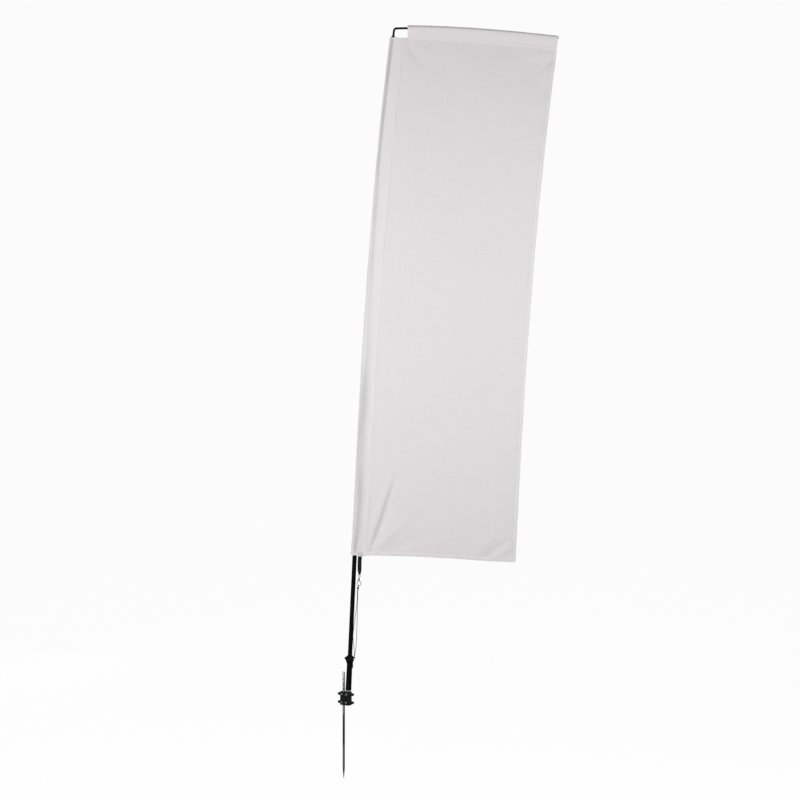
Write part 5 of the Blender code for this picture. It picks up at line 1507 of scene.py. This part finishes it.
def make_hook():
    wire = EYE_WIRE / 2
    bpy.ops.object.select_all(action="DESELECT")
    bpy.ops.mesh.primitive_torus_add(major_segments=48, minor_segments=14, major_radius=EYE_R,
                                     minor_radius=wire, rotation=(math.pi / 2, 0, 0))
    ring = bpy.context.object
    bpy.ops.object.transform_apply(location=True, rotation=True, scale=True)
    bottom = BARREL_TOP - BARREL_H
    floor = bottom + 0.0024
    stem_r, head_r, head, top = STEM_D / 2, 0.0017, floor + 0.0022, -EYE_R + wire * 0.5
    stem = turned([(0.0, top), (stem_r, top), (stem_r, head), (head_r, head), (head_r, floor + TOUCH_GAP),
                   (0.0, floor + TOUCH_GAP)], facets=28)
    dressed(united(ring, stem), "eye_and_stem", "nickel", "pole", ["swivel_eye"], bevel=0.0001, angle=40,
            place=HOOK)
    r, neck, bore, roof = BARREL_D / 2, stem_r + TOUCH_GAP, head_r + TOUCH_GAP, head + TOUCH_GAP
    barrel = turned([
        (0.0, bottom), (r - 0.0011, bottom), (r - 0.0003, bottom + 0.0004), (r, bottom + 0.0012),
        (r, BARREL_TOP - 0.0034), (r - 0.0004, BARREL_TOP - 0.0030), (r - 0.0004, BARREL_TOP - 0.0026),
        (r, BARREL_TOP - 0.0022), (r, BARREL_TOP - 0.0009), (r - 0.0008, BARREL_TOP),
        (neck, BARREL_TOP), (neck, roof), (bore, roof), (bore, floor), (0.0, floor),
    ], facets=36)
    centre = Vector((BOW_ASIDE, 0.0, -BOW_DROP))
    bow = [Vector((0.0, 0.0, bottom + 0.0006)), Vector((0.0022, 0.0, bottom - 0.0022))]
    bow += [centre + BOW_R * Vector((math.cos(a), 0.0, math.sin(a))) for a in spaced(BOW_START, BOW_END, 36)]
    radii = [0.0019, 0.0016] + [BOW_WIRE / 2] * 36
    px, pz = GATE_PIVOT
    gap = GATE_D + 2 * TOUCH_GAP + 0.0006
    cheeks = []
    for sign in (-1, 1):
        hole = cylinder(GATE_PIN_D / 2 + TOUCH_GAP, 0.012, (px, 0, pz), 20, (math.pi / 2, 0, 0))
        cheeks.append(cut(cheek_plate(px, pz, bottom, sign * (gap + CHEEK_THICKNESS) / 2), hole))
    body = joined(barrel, bar(bow, radii, rounds=5), *cheeks)
    dressed(body, "hook_casting", "nickel", "snap_hook", ["hook_body"], bevel=0.00015, angle=40, place=HOOK)
    reach = gap / 2 + CHEEK_THICKNESS + 0.0004
    pin_r = GATE_PIN_D / 2
    pin = turned([(0.0, -reach), (pin_r - 0.0001, -reach), (pin_r, -reach + 0.0001), (pin_r, reach - 0.0001),
                  (pin_r - 0.0001, reach), (0.0, reach)], facets=20)
    dressed(pin, "gate_rivet", "nickel", "snap_hook", ["gate_pin"],
            place=HOOK @ Matrix.Translation((px, 0.0, pz)) @ ALONG_Y)
    gate_at = HOOK @ Matrix.Translation((px, 0.0, pz))
    tip = centre + Vector((-(BOW_R - GATE_TIP_INSET), 0.0, 0.0)) - Vector((px, 0.0, pz))
    inner, outer, knuckle = pin_r + TOUCH_GAP, pin_r + 0.0012, GATE_D / 2 + 0.0003
    gate = turned([(inner, -knuckle), (outer, -knuckle), (outer, knuckle), (inner, knuckle)], ring=True,
                  facets=28)
    gate.data.transform(ALONG_Y)
    leaf = bar([tip * 0.155, tip * 0.35, tip * 0.7, tip], [GATE_D / 2] * 3 + [GATE_D * 0.46], rounds=4)
    dressed(united(gate, leaf), "gate_lever", "nickel", "gate", ["hook_gate"], bevel=0.0001, angle=40,
            place=gate_at)


def cheek_plate(px, pz, bottom, y):
    """One of the two cheeks that carry the gate's pin, drawn as a face and pulled to its thickness."""
    outline = [(px - 0.0017, pz - 0.0016), (px + 0.0017, pz - 0.0016), (0.0016, bottom + 0.0004),
               (0.0010, bottom + 0.0018), (-0.0022, bottom + 0.0018)]
    bpy.ops.object.select_all(action="DESELECT")
    bpy.ops.mesh.primitive_circle_add(vertices=5, radius=0.001, fill_type="NGON")
    obj = bpy.context.object
    for vert, (x, z) in zip(obj.data.vertices, outline):
        vert.co = (x, y - CHEEK_THICKNESS / 2, z)
    edit()
    bpy.ops.mesh.extrude_region_move(TRANSFORM_OT_translate={"value": (0, CHEEK_THICKNESS, 0)})
    faced_out()
    return obj


def make_cord():
    route = cord_route()
    points = finer(route, 0.004)
    cord = cord_mesh("tether_line", points, CORD_D / 2, sides=16)
    only(cord)
    bpy.ops.object.shade_smooth_by_angle(angle=math.radians(60))
    cord.data.materials.append(FINISHES["cord_black"])
    tuple(pole_point(0.236))
    tuple(pole_point(0.469))
    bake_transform(cord)
    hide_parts("tether_cord")
    make_whipping()
    make_cord_eye()


def make_whipping():
    """Twine wound round the cord's two strands under its eye."""
    bottom, r = WHIPPING_TOP - WHIPPING_H, WHIPPING_D / 2
    turns = 11
    ridge = []
    for index in range(turns):
        z = bottom + 0.0010 + (WHIPPING_H - 0.0020) * index / (turns - 1)
        ridge += [(r - 0.00045, z - 0.0004), (r - 0.00008, z - 0.0002), (r, z), (r - 0.00008, z + 0.0002)]
    whipping = turned([(0.0, bottom), (r - 0.0016, bottom), *ridge, (r - 0.0016, WHIPPING_TOP),
                       (0.0, WHIPPING_TOP)], facets=36)
    whipping.data.uv_layers.new(name="lay")
    return dressed(whipping, "twine_whipping", "whipping_black", "snap_hook", ["cord_whipping"],
                   angle=60, place=HOOK)


def make_cord_eye():
    """The cord's small loop round the snap hook's bow."""
    wire_z, round_r = -BOW_DROP - BOW_R, BOW_WIRE / 2 + CORD_D / 2 + 0.0005
    leg, start, x = CORD_D / 2 + 0.0002, WHIPPING_TOP + TOUCH_GAP, BOW_ASIDE * 0.5
    loop = [(x, -leg, start), (x, -leg, start + 0.0004), (x, -leg * 1.6, start + 0.0014)]
    for a in spaced(-0.35, math.pi + 0.35, 25):
        loop.append((x, -round_r * math.cos(a), wire_z + round_r * math.sin(a)))
    loop += [(x, leg * 1.6, start + 0.0014), (x, leg, start + 0.0004), (x, leg, start)]
    eye = cord_mesh("eye_of_cord", [HOOK @ Vector(p) for p in loop], CORD_D / 2, sides=14)
    return dressed(eye, "eye_of_cord", "cord_black", "snap_hook", ["cord_eye"], angle=60)


# ---- The frame's own pieces that stay ------------------------------------------------------------
KEPT = {
    "spindle": "zinc_plate", "thrust_washer": "nylon", "spindle_clip": "spring_steel", "lower_bush": "nylon",
    "upper_bush": "nylon", "pole_foot": "rubber", "pole_spigot": "pole_black",
}


def finish_kept():
    for name, material in KEPT.items():
        data = NODES[name].data
        data.materials.clear()
        data.materials.append(FINISHES[material])


FINISHES = make_finishes()
set_camera()
set_lights()
set_stage(FINISHES["studio_paper"])
make_cord()
make_spike()
make_clamp_shells()
make_fasteners()
make_socket()
make_pole()
make_arm()
make_panel()
make_sleeve()
make_pocket()
make_stitching()
make_strap()
make_tack()
make_hook()
finish_kept()
